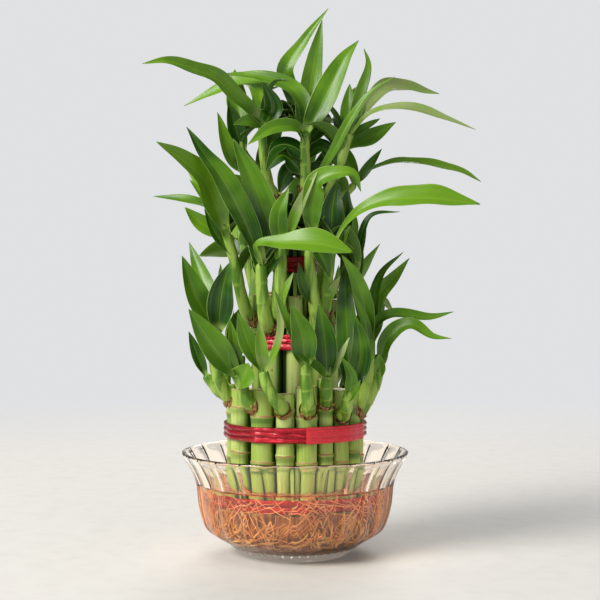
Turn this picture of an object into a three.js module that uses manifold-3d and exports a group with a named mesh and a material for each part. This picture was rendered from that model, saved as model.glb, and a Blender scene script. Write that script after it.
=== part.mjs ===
// Lucky bamboo in a glass bowl of water: three tiers of cut canes in foil ties, with leafy shoots and roots.
// Millimetres, +Z up. The origin is the middle of the flat underside of the bowl.
// Angles round the plant are in degrees from the front (-Y), growing towards +X.
import * as THREE from "three";
import { mergeVertices } from "three/addons/utils/BufferGeometryUtils.js";
import Module from "manifold-3d";

const wasm = await Module();
wasm.setup();

// Gap between neighbours that touch on the real plant.
const SEAT = 0.35;

// Bowl: [radius, height] up the outside, over the rim bead and down the inside.
const BOWL_OUTSIDE = [
  [0, 0], [29.6, 0], [39, 6.8], [50.4, 14.8], [54.4, 26], [56, 39], [58, 45], [61.5, 52],
];
const BOWL_RIM = [[64.3, 56.2], [63.1, 57.9], [61.8, 57]];
const BOWL_FLOOR = 6;
const BOWL_INSIDE = [[59, 52], [53.5, 39], [51.9, 26], [47.9, 14.8], [34, BOWL_FLOOR], [0, BOWL_FLOOR]];
const BOWL_WALL_LEAST = 1;
const FLUTES = 24;
const FLUTE_DEPTH = 0.7;
const FLUTE_LOW = 8;
const FLUTE_HIGH = 50;

// Water and the root mat.
const WATER_LEVEL = 40;
const WATER_SKIN = 2;
const WATER_HOLE = 40.6;
const WATER_WALL = 1.4;
const WATER_SIDES = 24;
const MAT_TOP = 11.65;
const MAT_RADIUS = 41;
const MAT_FOOT_RADIUS = 33.2;
const MAT_RIM = 1.2;
const STRANDS = 22;
const STRAND_STEPS = 5;
const STRAND_RADIUS = 0.75;
const STRAND_TAPER = 0.45;
const STRAND_LEAN = 26;
const STRAND_LOW = 14;
const STRAND_TOP = [22, 35];
const STRAND_FOOT = 41.5;
const STRAND_INNER = 42.6;
const STRAND_CLEAR = 3.7;
const GOLDEN_TURN = 137.508;

// Canes: ring radius, and for each cane [angle, radius, top].
const OUTER_RING = 33;
const MIDDLE_RING = 20.2;
const INNER_RING = 8.5;
const CANE_FOOT = 12;
const CANE_SIDES = 7;
const NODE_BULGE = 0.5;
const NODE_HALF = 1.6;
const NODES_OUTER = [57, 82];
const NODES_STAGGER = 2;
const NODE_MIDDLE = 131;
const NODE_INNER = 183;
const OUTER_FRONT = [
  [-63, 6.3, 94], [-32, 6.5, 95], [-9, 5.1, 93], [11, 5.8, 97],
  [30, 4.3, 101], [48, 5.1, 94.5], [71, 5.3, 92],
];
const OUTER_BACK = 9;
const OUTER_BACK_RADIUS = 5.7;
const OUTER_BACK_TOP = 94;
const OUTER_BACK_STEP = 22.6;
const MIDDLE_CANES = 10;
const MIDDLE_RADIUS = 5.2;
const MIDDLE_TOP = 146;
const INNER_CANES = [[-45, 4.9, 204], [45, 4.9, 208], [135, 4.7, 199], [225, 4.9, 197]];

// Foil ties: [lowest, highest] and how thick the foil is wound.
const TIE_ROOTS = [29, 37];
const TIE_LOWER = [66.3, 75];
const TIE_MIDDLE = [116, 125];
const TIE_UPPER = [159, 168];
const TIE_SLACK = 0.7;
const TIE_THICK = 1.3;
const TIE_EDGE = 0.4;
const TIE_GROOVE = 0.6;
const BAND_DIRECTIONS = 96;

// Leaves and stems.
const BLADE_THICK = 1.2;
const BLADE_FULLNESS = 1.16;
const BLADE_FOLD = 0.22;
const BLADE_WIDEST = 0.42;
const BLADE_ROOT = 0.45;
const BLADE_ROLL = 14;
const BLADE_TIP = 0.03;
const FRONT_FACE = new THREE.Vector3(0, -0.8, 0.6);
const STEM_SIDES = 5;
const STEM_FOOT = 1.25;
const STEM_END = 0.75;
const STEM_FACE = new THREE.Vector3(0.3, 0.2, 0);

const COLOURS = {
  glass: { color: 0xe6e4df, roughness: 0.05, metalness: 0, transparent: true, opacity: 0.35 },
  water: { color: 0xe9dccd, roughness: 0.03, metalness: 0, transparent: true, opacity: 0.4 },
  foil: { color: 0xb01028, roughness: 0.28, metalness: 0.6 },
  root: { color: 0xd9713a, roughness: 0.6, metalness: 0 },
  cane: { color: 0xa5c35f, roughness: 0.45, metalness: 0 },
  leaf: { color: 0x4e8a1e, roughness: 0.4, metalness: 0 },
};

const radians = THREE.MathUtils.degToRad;
const lerp = THREE.MathUtils.lerp;

// The point at an angle round the plant, at a radius and a height.
function around(angle, radius, height) {
  const a = radians(angle);
  return new THREE.Vector3(radius * Math.sin(a), -radius * Math.cos(a), height);
}

// The part of a number after its decimal point: spreads repeats evenly without a pattern.
const spread = (n) => n - Math.floor(n);

// A closed three.js geometry as a solid.
function solidOf(geometry) {
  const bare = geometry.clone();
  bare.deleteAttribute("normal");
  bare.deleteAttribute("uv");
  const merged = mergeVertices(bare, 1e-4);
  const triVerts = new Uint32Array(merged.index.array);
  const mesh = { numProp: 3, vertProperties: merged.attributes.position.array, triVerts };
  const solid = new wasm.Manifold(new wasm.Mesh(mesh));
  if (solid.volume() > 0) return solid;
  for (let i = 0; i < triVerts.length; i += 3) {
    [triVerts[i], triVerts[i + 1]] = [triVerts[i + 1], triVerts[i]];
  }
  return new wasm.Manifold(new wasm.Mesh(mesh));
}

// A solid as a three.js geometry with flat faces.
function geometryOf(solid) {
  const mesh = solid.getMesh();
  const geometry = new THREE.BufferGeometry();
  geometry.setAttribute("position", new THREE.BufferAttribute(mesh.vertProperties, 3));
  geometry.setIndex(new THREE.BufferAttribute(mesh.triVerts, 1));
  const flat = geometry.toNonIndexed();
  flat.computeVertexNormals();
  return flat;
}

// The body of a solid that holds the most, without the scraps that a cut leaves.
function mainBody(solid) {
  const bodies = solid.decompose();
  return bodies.reduce((most, body) => (body.volume() > most.volume() ? body : most));
}

// A profile of [radius, height] turned about Z. The first point faces the front.
function turned(profile, sides) {
  const points = profile.map(([radius, height]) => new THREE.Vector2(radius, height));
  return new THREE.LatheGeometry(points, sides).rotateX(Math.PI / 2);
}

// Moves each vertex of a turned shape outwards by what push says for its angle, radius and height.
function pushed(geometry, push) {
  const position = geometry.attributes.position;
  for (let i = 0; i < position.count; i++) {
    const [x, y, z] = [position.getX(i), position.getY(i), position.getZ(i)];
    const radius = Math.hypot(x, y);
    if (radius < 1e-6) continue;
    const k = 1 + push(Math.atan2(x, -y), radius, z) / radius;
    position.setXY(i, x * k, y * k);
  }
  return geometry;
}

// A rod or blade along a curve: a cylinder bent on to it, where shape gives each vertex's two offsets.
function bent(points, sides, steps, face, shape) {
  const curve = new THREE.CatmullRomCurve3(points);
  const geometry = new THREE.CylinderGeometry(1, 1, 1, sides, steps);
  const position = geometry.attributes.position;
  for (let i = 0; i < position.count; i++) {
    const t = THREE.MathUtils.clamp(position.getY(i) + 0.5, 0, 1);
    const along = curve.getTangentAt(t);
    const across = new THREE.Vector3().crossVectors(along, face).normalize();
    const over = new THREE.Vector3().crossVectors(across, along);
    const [sideways, up] = shape(t, position.getX(i), position.getZ(i));
    const at = curve.getPointAt(t).addScaledVector(across, sideways).addScaledVector(over, up);
    position.setXYZ(i, at.x, at.y, at.z);
  }
  return solidOf(geometry);
}

// The radius of the bowl's inside at a height.
function insideRadius(height) {
  for (let i = 1; i < BOWL_INSIDE.length; i++) {
    const [[highRadius, high], [lowRadius, low]] = [BOWL_INSIDE[i - 1], BOWL_INSIDE[i]];
    if (height >= low) return lerp(lowRadius, highRadius, (height - low) / (high - low));
  }
  return 0;
}

// Bowl: pressed glass, with upright flutes outside and a smooth inside.
function bowl() {
  const shape = turned([...BOWL_OUTSIDE, ...BOWL_RIM, ...BOWL_INSIDE], FLUTES * 2);
  return pushed(shape, (angle, radius, height) => {
    if (height <= FLUTE_LOW || height >= FLUTE_HIGH) return 0;
    if (radius < insideRadius(height) + BOWL_WALL_LEAST) return 0;
    const hollow = 1 - Math.cos(angle * FLUTES);
    return (-FLUTE_DEPTH * hollow) / 2;
  });
}

// Water: its surface, with a plain round hole for the canes, and its layer along the glass, round the roots.
function water() {
  const levels = [CANE_FOOT, 14.8, 26, WATER_LEVEL - WATER_SKIN];
  const outside = [...levels, WATER_LEVEL].map((z) => [insideRadius(z) - SEAT, z]);
  const inside = [...levels].reverse().map((z) => [insideRadius(z) - SEAT - WATER_WALL, z]);
  const hole = [[WATER_HOLE, WATER_LEVEL], [WATER_HOLE, WATER_LEVEL - WATER_SKIN]];
  return turned([...outside, ...hole, ...inside, outside[0]], WATER_SIDES);
}

// Roots: the mat on the floor of the bowl and the strands that rise from its edge.
function roots() {
  const floor = BOWL_FLOOR + SEAT;
  const mat = [
    [0, floor], [MAT_FOOT_RADIUS, floor], [MAT_RADIUS, MAT_TOP - MAT_RIM],
    [MAT_RADIUS, MAT_TOP], [0, MAT_TOP],
  ];
  const pieces = [solidOf(turned(mat, WATER_SIDES))];
  for (let i = 0; i < STRANDS; i++) {
    const start = i * GOLDEN_TURN;
    const lean = STRAND_LEAN * Math.sin(i * 1.9);
    const top = lerp(...STRAND_TOP, spread(i * 0.618));
    const root = around(start, MAT_RADIUS - 2.5, MAT_TOP - 1.6);
    const route = [root, around(start + lean * 0.1, STRAND_FOOT, STRAND_LOW)];
    for (const part of [0.35, 0.7, 1]) {
      const height = lerp(STRAND_LOW, top, part);
      const radius = lerp(STRAND_INNER, insideRadius(height) - STRAND_CLEAR, spread(i * 0.382 + part * 1.7));
      route.push(around(start + lean * part, radius, height));
    }
    pieces.push(
      bent(route, 3, STRAND_STEPS, new THREE.Vector3(0, 0, 1), (t, x, z) => {
        const radius = STRAND_RADIUS * (1 - STRAND_TAPER * t);
        return [x * radius, z * radius];
      }),
    );
  }
  return mainBody(wasm.Manifold.union(pieces));
}

// Every cane: its name, where it stands, its radius, its top and the heights of its node rings.
function caneList() {
  const canes = [];
  const add = (tier, ring, number, [angle, radius, top], rings) => {
    const name = `cane_${tier}_${String(number).padStart(2, "0")}`;
    canes.push({ name, tier, number, ring, angle, radius, top, rings });
  };
  for (let i = 0; i < OUTER_FRONT.length + OUTER_BACK; i++) {
    const stagger = i % 2 ? -NODES_STAGGER : NODES_STAGGER;
    const behind = i - OUTER_FRONT.length + 1;
    const angle = OUTER_FRONT.at(-1)[0] + OUTER_BACK_STEP * behind;
    const back = [angle, OUTER_BACK_RADIUS + 0.4 * Math.sin(i * 2.1), OUTER_BACK_TOP + 3 * Math.sin(i * 1.3)];
    add("outer", OUTER_RING, i + 1, OUTER_FRONT[i] ?? back, NODES_OUTER.map((height) => height + stagger));
  }
  for (let i = 0; i < MIDDLE_CANES; i++) {
    const size = [(360 / MIDDLE_CANES) * i, MIDDLE_RADIUS, MIDDLE_TOP + 2 * Math.sin(i * 2.4)];
    add("middle", MIDDLE_RING, i + 1, size, [NODE_MIDDLE + 2 * Math.sin(i * 1.7)]);
  }
  INNER_CANES.forEach((size, i) => add("inner", INNER_RING, i + 1, size, [NODE_INNER + 2 * Math.sin(i * 2)]));
  return canes;
}

// A cane: a straight rod with raised rings at its nodes, grown all over by a clearance when it is a cutter.
function cane({ ring, angle, radius, top, rings }, clearance = 0) {
  const r = radius + clearance;
  const profile = [[0, CANE_FOOT - clearance], [r, CANE_FOOT - clearance]];
  for (const height of rings) {
    profile.push([r, height - NODE_HALF], [r + NODE_BULGE, height], [r, height + NODE_HALF]);
  }
  profile.push([r, top + clearance], [0, top + clearance]);
  const place = around(angle, ring, 0);
  return turned(profile, CANE_SIDES).translate(place.x, place.y, 0);
}

// How far from the axis a taut band round these canes runs, in a direction in radians.
function bandRadius(canes, direction) {
  let least = Infinity;
  for (let i = 0; i < BAND_DIRECTIONS; i++) {
    const side = (2 * Math.PI * i) / BAND_DIRECTIONS;
    const facing = Math.cos(side - direction);
    if (facing < 0.5) continue;
    const reach = canes.map(({ ring, angle, radius }) => ring * Math.cos(side - radians(angle)) + radius);
    least = Math.min(least, Math.max(...reach) / facing);
  }
  return least;
}

// A tie: strands of foil wound round one ring of canes, as one band with that many ridges.
function tie(canes, [low, high], ridges, sides, clearance = 0) {
  const inner = TIE_SLACK - clearance;
  const outer = TIE_SLACK + TIE_THICK + clearance;
  const strand = (high - low) / ridges;
  const profile = [[inner, low - clearance], [outer - TIE_EDGE, low - clearance]];
  for (let i = 0; i < ridges; i++) {
    profile.push([outer, low + strand * (i + 0.5)]);
    if (i < ridges - 1) profile.push([outer - TIE_GROOVE, low + strand * (i + 1)]);
  }
  profile.push([outer - TIE_EDGE, high + clearance], [inner, high + clearance], profile[0]);
  const base = OUTER_RING;
  const shape = turned(profile.map(([out, z]) => [base + out, z]), sides);
  return pushed(shape, (direction) => bandRadius(canes, direction) - base);
}

// A stem: its radius and the points it passes. A leaf: its width as it looks, folded, the points of its
// midrib from root to tip, and how many degrees it is rolled from facing the front. The blade itself is wider
// than it looks by the fullness.
const stem = (radius, points) => ({ radius, points });
const leaf = (width, points, roll = 0) => ({ width, points, roll });

// A shoot: its name, the tier and number of its cane, the height where it leaves it, its stems, its leaves
// and how many degrees it is turned round the plant.
function shoot(name, tier, number, seat, stems, leaves, turn = 0) {
  return { name, tier, number, seat, stems, leaves, turn };
}

const SHOOTS = [
  shoot("shoot_middle_front", "middle", 10, 127, [
    stem(3.3, [[-15.4, -24, 130.5], [-18, -28, 149], [-18.5, -30, 164.5]]),
  ], [
    leaf(14, [[-18.5, -31, 162], [-20, -37, 173.6], [-5, -46, 174.4], [13, -52, 173.6], [31, -54, 169]]),
    leaf(12.5, [[-18.5, -30, 163], [-27, -34, 186], [-39.5, -36, 210], [-50, -34, 224], [-59, -30, 238]]),
    leaf(14, [[-17.5, -29, 163], [-12.6, -26, 174], [-20, -28, 201], [-34, -24, 232.6]]),
  ]),
  shoot("shoot_middle_right", "middle", 2, 133, [
    stem(2.8, [[16, -20, 138], [17.7, -22, 152], [19.8, -23, 168.5], [22.5, -24, 177]]),
  ], [
    leaf(14, [
      [21.5, -25, 174], [27, -32, 184], [35.5, -39, 192.5], [48, -44, 197], [69, -50, 198], [98, -52, 194.5],
    ]),
    leaf(12, [[20.5, -23, 171], [20.6, -17, 193], [24, -14, 211]]),
    leaf(6, [[21, -22, 168], [31, -20, 185]]),
    leaf(4.5, [[17, -21, 140], [20, -24, 148], [25, -26, 157]]),
  ]),
  shoot("shoot_middle_left", "middle", 9, 130, [
    stem(2.8, [[-26, -12, 135], [-30.5, -15, 149], [-33, -18, 163], [-37, -20, 177], [-40, -22, 187]]),
  ], [
    leaf(13.5, [[-38, -21, 180], [-51, -33, 209], [-73.5, -48, 228]]),
    leaf(7, [[-38, -22, 180], [-45.5, -19, 193.5], [-57, -15, 198.5], [-80, -6, 202]], 12),
    leaf(9, [[-38, -19, 178], [-53, -18, 187], [-61, -20, 195]]),
    leaf(6, [[-35, -20, 168], [-44, -22, 181], [-50, -22, 194]]),
    leaf(6, [[-40, -21, 185], [-50, -15, 200], [-59, -12, 211]]),
  ]),
  shoot("shoot_outer_left", "outer", 1, 83, [
    stem(2.6, [[-37, -12.5, 88.5], [-42.5, -12, 92], [-46.4, -12, 96.5], [-50.4, -12, 102]]),
    stem(3, [
      [-36.5, -13.5, 89.5], [-40.7, -16, 96], [-44.4, -18, 107.6], [-45, -18, 118.7], [-43, -19, 129],
    ]),
  ], [
    leaf(6, [[-50, -12, 101], [-54, -12, 111], [-59.6, -11, 126]]),
    leaf(12.5, [[-44, -19, 126], [-55, -21, 146.5], [-62.4, -20, 168]]),
    leaf(10, [[-44, -18, 126], [-51.5, -2, 153], [-61, 10, 176.5]]),
    leaf(13, [[-42.5, -20, 127], [-40, -26, 148], [-36, -27, 164]]),
    leaf(6, [[-43.5, -18, 126], [-42, -8, 150], [-42, -6, 164]]),
  ]),
  shoot("shoot_outer_front_left", "outer", 2, 82, [
    stem(3, [[-25.5, -32, 88.5], [-28, -33, 95], [-32, -34, 104]]),
  ], [
    leaf(14, [[-32, -35, 102], [-44.6, -40, 120], [-57, -42, 139]]),
    leaf(6.5, [[-31.5, -34, 103], [-33, -36, 120], [-35, -36, 133]]),
    leaf(11, [[-30, -34.5, 96], [-27, -39, 103], [-24.7, -41, 110]]),
  ]),
  shoot("shoot_outer_front", "outer", 3, 81, [
    stem(3, [[-7.8, -40.5, 86.5], [-12, -43, 92.5], [-15, -44, 98.5], [-17, -44, 106.6]]),
  ], [
    leaf(10, [[-17, -44, 105], [-24.6, -43, 120], [-30.5, -42, 137]]),
    leaf(6, [[-16.5, -44.5, 105], [-18, -48, 120], [-19, -48, 134]]),
    leaf(4, [[-16, -45, 104], [-10.6, -49, 116], [-7.4, -50, 128], [-8.5, -49, 140], [-11.4, -48, 149]]),
  ]),
  shoot("shoot_outer_centre", "outer", 4, 81, [
    stem(3.2, [[7.5, -41.5, 87], [6.4, -44.5, 98.6], [5.9, -46, 111]]),
  ], [
    leaf(12.5, [[5.7, -47, 109], [3.7, -51, 125.5], [-2, -52, 141]]),
    leaf(4.5, [[4.8, -46, 109], [-3.7, -50, 132], [-11, -50, 150]]),
    leaf(4, [[7, -46, 109], [10, -48, 125]]),
  ]),
  shoot("shoot_outer_right_inside", "outer", 5, 85, [
    stem(2.8, [[17.3, -36, 91], [16.8, -38, 97.5], [17.8, -39, 104]]),
  ], [
    leaf(11, [[17.5, -39, 102], [16, -41, 122.5], [13, -40, 142]]),
    leaf(7, [[17.5, -40, 102], [9.6, -48, 109], [1, -53, 115]]),
    leaf(4, [[18.5, -40, 102], [24.7, -41, 114], [29.6, -40, 124]]),
  ]),
  shoot("shoot_outer_front_right", "outer", 6, 77.5, [
    stem(3, [[27.6, -31.6, 83.5], [28.8, -35, 90], [29.7, -36, 95.5]]),
  ], [
    leaf(11, [[29.4, -34.6, 93], [29.2, -25, 118], [28, -20, 142], [28, -16, 165]]),
    leaf(6, [[29.2, -36.8, 91], [30, -41.4, 103], [25, -43, 113.4]]),
    leaf(5, [[29.2, -35.6, 88.5], [32.6, -39.8, 94.6], [35.2, -43, 101]]),
    leaf(10.5, [[29.9, -36.4, 93.6], [35.7, -36, 114], [33, -35, 135]]),
  ]),
  shoot("shoot_outer_right", "outer", 7, 77, [
    stem(3, [[38, -9.5, 83], [42, -9, 89.5], [45.5, -9, 97], [48, -9, 107]]),
    stem(2.8, [[38, -12, 89], [41, -14, 102], [42, -15, 116], [42.3, -15, 122.5]]),
  ], [
    leaf(8, [
      [47.8, -9, 106], [50.5, -14, 120], [57.5, -17, 128],
      [65, -20, 130], [75.5, -23, 123.5], [86, -25, 122.5],
    ]),
    leaf(7, [[46.5, -10, 100], [47, -14, 114]]),
    leaf(9, [[42, -16, 120], [39, -18, 138], [34, -20, 155], [25.6, -22, 169]]),
    leaf(5, [[42, -16, 118], [37.5, -22, 134], [32, -24, 148]]),
    leaf(9.5, [[42.2, -14, 121], [45.5, 0, 143.5], [56, 7, 155], [66, 12, 167.5]]),
    leaf(6, [[42.3, -14, 120], [48.5, 3, 156.5], [62, 4, 171]]),
    leaf(9, [[42.3, -14, 119], [49, 6, 143], [57, 8, 136]]),
    leaf(6.5, [[42.5, -14, 120], [46, -12, 131], [54, -12, 135.5], [75.5, -12, 134], [89, -12, 137]]),
  ]),
  shoot("shoot_middle_centre_left", "middle", 1, 132, [
    stem(2.9, [[-7.7, -25, 136], [-7.7, -28, 155], [-7.7, -28, 174]]),
  ], [
    leaf(9, [[-7.6, -29, 172], [-8.7, -31, 190], [-3.3, -31, 205]]),
    leaf(5.5, [[-6.8, -28, 171], [1, -31, 192], [13, -33, 215.5]]),
    leaf(5, [[-7.5, -26, 137], [-6, -31, 146.5], [-0.7, -32, 159]]),
  ]),
  shoot("shoot_middle_centre_right", "middle", 2, 120, [
    stem(2.8, [[11, -25, 139], [7.7, -26, 155], [6, -28, 164.6], [9.3, -29, 179]]),
  ], [
    leaf(10.5, [
      [9.3, -29, 177], [9.8, -31, 198], [12.5, -33, 208],
      [21.6, -36, 212], [31, -37, 212], [35.6, -37, 202.5],
    ]),
    leaf(5.5, [[10.5, -25, 140], [5, -31, 149], [2, -33, 164.5]]),
  ]),
  shoot("shoot_middle_far_right", "middle", 3, 132, [
    stem(2.6, [[25, -7, 137], [32.6, -10, 152], [34, -10, 165]]),
  ], [
    leaf(5, [[34, -10, 163], [40, -8, 188.5]]),
    leaf(6, [[32, -9.5, 150], [38, -10, 174]]),
    leaf(4, [[34, -10, 164], [42, -12, 190], [59, -12, 193]]),
  ]),
  shoot("shoot_inner_centre", "inner", 2, 202, [
    stem(2.7, [[6.2, -12, 206], [5.6, -13, 222], [5.6, -12, 238.7]]),
  ], [
    leaf(12.5, [[6, -12, 236], [11, -14, 245], [21, -15, 265], [28.5, -14, 279], [35.5, -12, 288.5]]),
    leaf(9.5, [[5.5, -11, 236], [5, -7, 253], [-3, -3, 264], [-19, 2, 270], [-32, 6, 272], [-45, 10, 273]]),
    leaf(8.5, [[5, -13, 236], [-2, -22, 239], [-12.6, -29, 237], [-25.5, -34, 228]]),
    leaf(10.5, [[5.6, -11, 236], [8, 0, 260], [11, 2, 280], [15.4, 3, 303]]),
    leaf(9, [[5, -11, 237], [-2, 6, 261], [-6, 8, 274], [4.6, 8, 291], [19, 8, 310.6]]),
    leaf(8, [[5.8, -11, 235], [12, 4, 256], [17, 12, 275]]),
    leaf(12, [[5.4, -12, 221], [-5.6, -12, 230], [-15, -15, 222]]),
    leaf(12, [[5.6, -12.5, 213], [-7, -16, 224], [-16, -20, 215]]),
    leaf(5, [
      [6.5, -13, 207], [12, -18, 211], [20.5, -27, 224], [30.5, -33, 242], [41, -36, 256], [54, -36, 264.5],
    ]),
    leaf(11, [[5.6, -11, 237], [8, 10, 262], [10, 28, 274], [10, 44, 278]]),
  ]),
  shoot("shoot_inner_left", "inner", 1, 197, [
    stem(2.5, [[-12.5, -8, 203], [-16.3, -9, 216], [-18, -10, 230.5], [-18.4, -11, 243]]),
  ], [
    leaf(11, [
      [-18.5, -11, 241], [-31, -18, 254], [-42, -25, 264],
      [-55, -32, 269], [-69, -39, 272], [-81.5, -44, 270],
    ]),
    leaf(10.5, [[-17.5, -11.5, 240], [-12.7, -20, 250], [-17.6, -24, 263]]),
    leaf(6.5, [[-18.5, -12, 240], [-25, -18, 242.5], [-34, -24, 240]]),
    leaf(5, [[-18.2, -10, 241], [-24, -2, 259.5]]),
    leaf(11, [[-18.4, -10, 240], [-21.5, 8, 265.5], [-33.5, 18, 269.5], [-50.5, 26, 264], [-66, 32, 258]]),
  ]),
  shoot("shoot_inner_right", "inner", 3, 192, [
    stem(2.6, [[12, -3, 197], [20, -4, 208], [27, -5, 225.6], [31, -4, 238.6]]),
    stem(2.3, [[12, -3, 197], [20, 2, 201], [28, 4, 204], [34.7, 4, 210]]),
  ], [
    leaf(6, [[31, -4, 237], [37, -2, 260], [41.5, 0, 277], [39, 0, 286.5]]),
    leaf(9, [
      [31, -3.5, 236], [42, 8, 256], [52.5, 18, 267], [64.5, 27, 269], [76.5, 33, 267], [86, 37, 266],
    ]),
    leaf(7, [
      [31, -5, 236], [42, -13, 247.5], [54, -19, 250], [68.5, -24, 248], [83, -28, 242.5], [98.5, -30, 236.5],
    ]),
    leaf(5, [[31, -3, 236], [48.6, 4, 247]]),
    leaf(9.5, [[28, -4, 228], [41.6, 2, 235], [57.6, 5, 245]]),
    leaf(9, [[31, -3, 237], [31, 7, 254], [31.5, 12, 268]]),
    leaf(5, [[34, 4, 209], [49.7, 6, 230]]),
    leaf(7, [
      [34, 3.5, 208], [42, 9, 217.5], [52, 14, 222], [62, 18, 224],
      [81, 24, 222.5], [98, 28, 219], [110, 30, 213],
    ]),
    leaf(10, [[31, -3, 237], [36, 14, 260], [42, 32, 272]]),
  ]),
  shoot("shoot_inner_back", "inner", 4, 192, [
    stem(2.6, [[-8, 11, 199], [-20, 10, 215], [-30.5, 8, 230], [-30, 8, 242]]),
  ], [
    leaf(9, [[-30, 7, 228], [-38, 0, 257]]),
    leaf(9.5, [[-20, 9, 214], [-34, -6, 220], [-43.6, -8, 249]]),
    leaf(11, [[-30, 8, 240], [-34, 20, 262], [-36, 34, 280]]),
    leaf(12, [[-30, 9, 236], [-30, 26, 250], [-24, 44, 256], [-20, 62, 252]]),
    leaf(10, [[-22, 10.5, 218], [-14, 24, 236], [-8, 34, 262]]),
  ]),
];

// Shoots at the back, which repeat one from the front turned round the plant on to a cane there.
const repeat = (name, original, number, degrees) => {
  const from = SHOOTS.find((one) => one.name === original);
  return { ...from, name, number, turn: degrees };
};
SHOOTS.push(
  repeat("shoot_outer_back_right", "shoot_outer_right_inside", 9, 86.2),
  repeat("shoot_outer_back", "shoot_outer_left", 11, 224.4),
  repeat("shoot_outer_back_left", "shoot_outer_front_left", 13, 238.6),
  repeat("shoot_outer_far_left", "shoot_outer_front", 15, 260.8),
  repeat("shoot_middle_back_right", "shoot_middle_right", 5, 108),
  repeat("shoot_middle_back_left", "shoot_middle_left", 7, -72),
);

// How wide a blade is along its length, from 0 at the root to 1 at the tip: lance-shaped with a long tip.
function bladeWidth(t) {
  if (t < BLADE_WIDEST) return lerp(BLADE_ROOT, 1, Math.sin((t / BLADE_WIDEST) * (Math.PI / 2)));
  return 1 - Math.pow((t - BLADE_WIDEST) / (1 - BLADE_WIDEST), 1.7) * (1 - BLADE_TIP);
}

// A blade with its two halves folded up from the midrib.
function blade({ width, points, roll }, number, turn, clearance) {
  const axis = new THREE.Vector3(0, 0, 1);
  const route = points.map((point) => new THREE.Vector3(...point).applyAxisAngle(axis, turn));
  const chord = route.at(-1).clone().sub(route[0]).normalize();
  const wobble = radians(roll || BLADE_ROLL * Math.sin(number * 2.3));
  const face = FRONT_FACE.clone().applyAxisAngle(axis, turn).applyAxisAngle(chord, wobble);
  const steps = THREE.MathUtils.clamp(points.length + 1, 3, 5);
  return bent(route, 4, steps, face, (t, x, z) => {
    const half = ((width * BLADE_FULLNESS) / 2) * bladeWidth(t) + clearance;
    const thick = (BLADE_THICK / 2) * (1 - 0.5 * t) + clearance;
    return [x * half, z * thick + Math.abs(x) * half * BLADE_FOLD];
  });
}

// A stem with a swollen foot that grows out of its cane.
function stalk({ radius, points }, start, turn, clearance) {
  const axis = new THREE.Vector3(0, 0, 1);
  const route = [start, ...points.map((point) => new THREE.Vector3(...point).applyAxisAngle(axis, turn))];
  return bent(route, STEM_SIDES, points.length, STEM_FACE, (t, x, z) => {
    const r = radius * lerp(STEM_FOOT, STEM_END, t) + clearance;
    return [x * r, z * r];
  });
}

// A whole shoot, grown by a clearance when it is a cutter.
function shootSolid({ tier, number, seat, stems, leaves, turn }, canes, clearance = 0) {
  const host = canes.find((one) => one.tier === tier && one.number === number);
  const start = around(host.angle, host.ring, seat);
  const pieces = stems.map((one) => stalk(one, start, radians(turn), clearance));
  leaves.forEach((one, i) => pieces.push(blade(one, i, radians(turn), clearance)));
  return wasm.Manifold.union(pieces);
}

const group = new THREE.Group();

// Puts a solid or geometry in the group under its name.
function place(name, shape, finish) {
  const geometry = shape.isBufferGeometry ? shape : geometryOf(shape);
  const mesh = new THREE.Mesh(geometry, new THREE.MeshStandardMaterial(COLOURS[finish]));
  mesh.name = name;
  group.add(mesh);
}

const canes = caneList();
const tier = (name) => canes.filter((one) => one.tier === name);
const ties = [
  ["tie_roots", tier("outer"), TIE_ROOTS, 1, 32],
  ["tie_lower", tier("outer"), TIE_LOWER, 3, 32],
  ["tie_middle", tier("middle"), TIE_MIDDLE, 2, 30],
  ["tie_upper", tier("inner"), TIE_UPPER, 2, 20],
];

place("bowl", bowl(), "glass");
place("water", water(), "water");
place("roots", roots(), "root");
for (const one of canes) place(one.name, cane(one), "cane");
for (const [name, held, span, ridges, sides] of ties) place(name, tie(held, span, ridges, sides), "foil");

// Each shoot is cut back from the canes, the ties and the shoots placed before it, so that none touch.
const cutters = canes.map((one) => solidOf(cane(one, SEAT)));
for (const [, held, span, ridges, sides] of ties) cutters.push(solidOf(tie(held, span, ridges, sides, SEAT)));
for (const one of SHOOTS) {
  const whole = shootSolid(one, canes);
  place(one.name, mainBody(whole.subtract(wasm.Manifold.union(cutters))), "leaf");
  cutters.push(shootSolid(one, canes, SEAT));
}

export default group;
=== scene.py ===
"""Lucky bamboo in a fluted glass bowl of water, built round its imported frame.

Three tiers of cut canes stand on their roots in a pressed-glass bowl. Crimson foil ties hold them, and leafy
shoots grow from their upper nodes. Lengths are in millimetres while a piece is shaped, and in metres once it
is finished. Finishes and the studio are in metres. Angles round the plant are in degrees from the front (-Y),
growing towards +X.
"""

from __future__ import annotations

import logging
import math
import random
from dataclasses import dataclass, field, replace
from enum import Enum
from typing import Callable, Iterable, Sequence

import bmesh
import bpy
from mathutils import Matrix, Quaternion, Vector, noise

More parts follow.
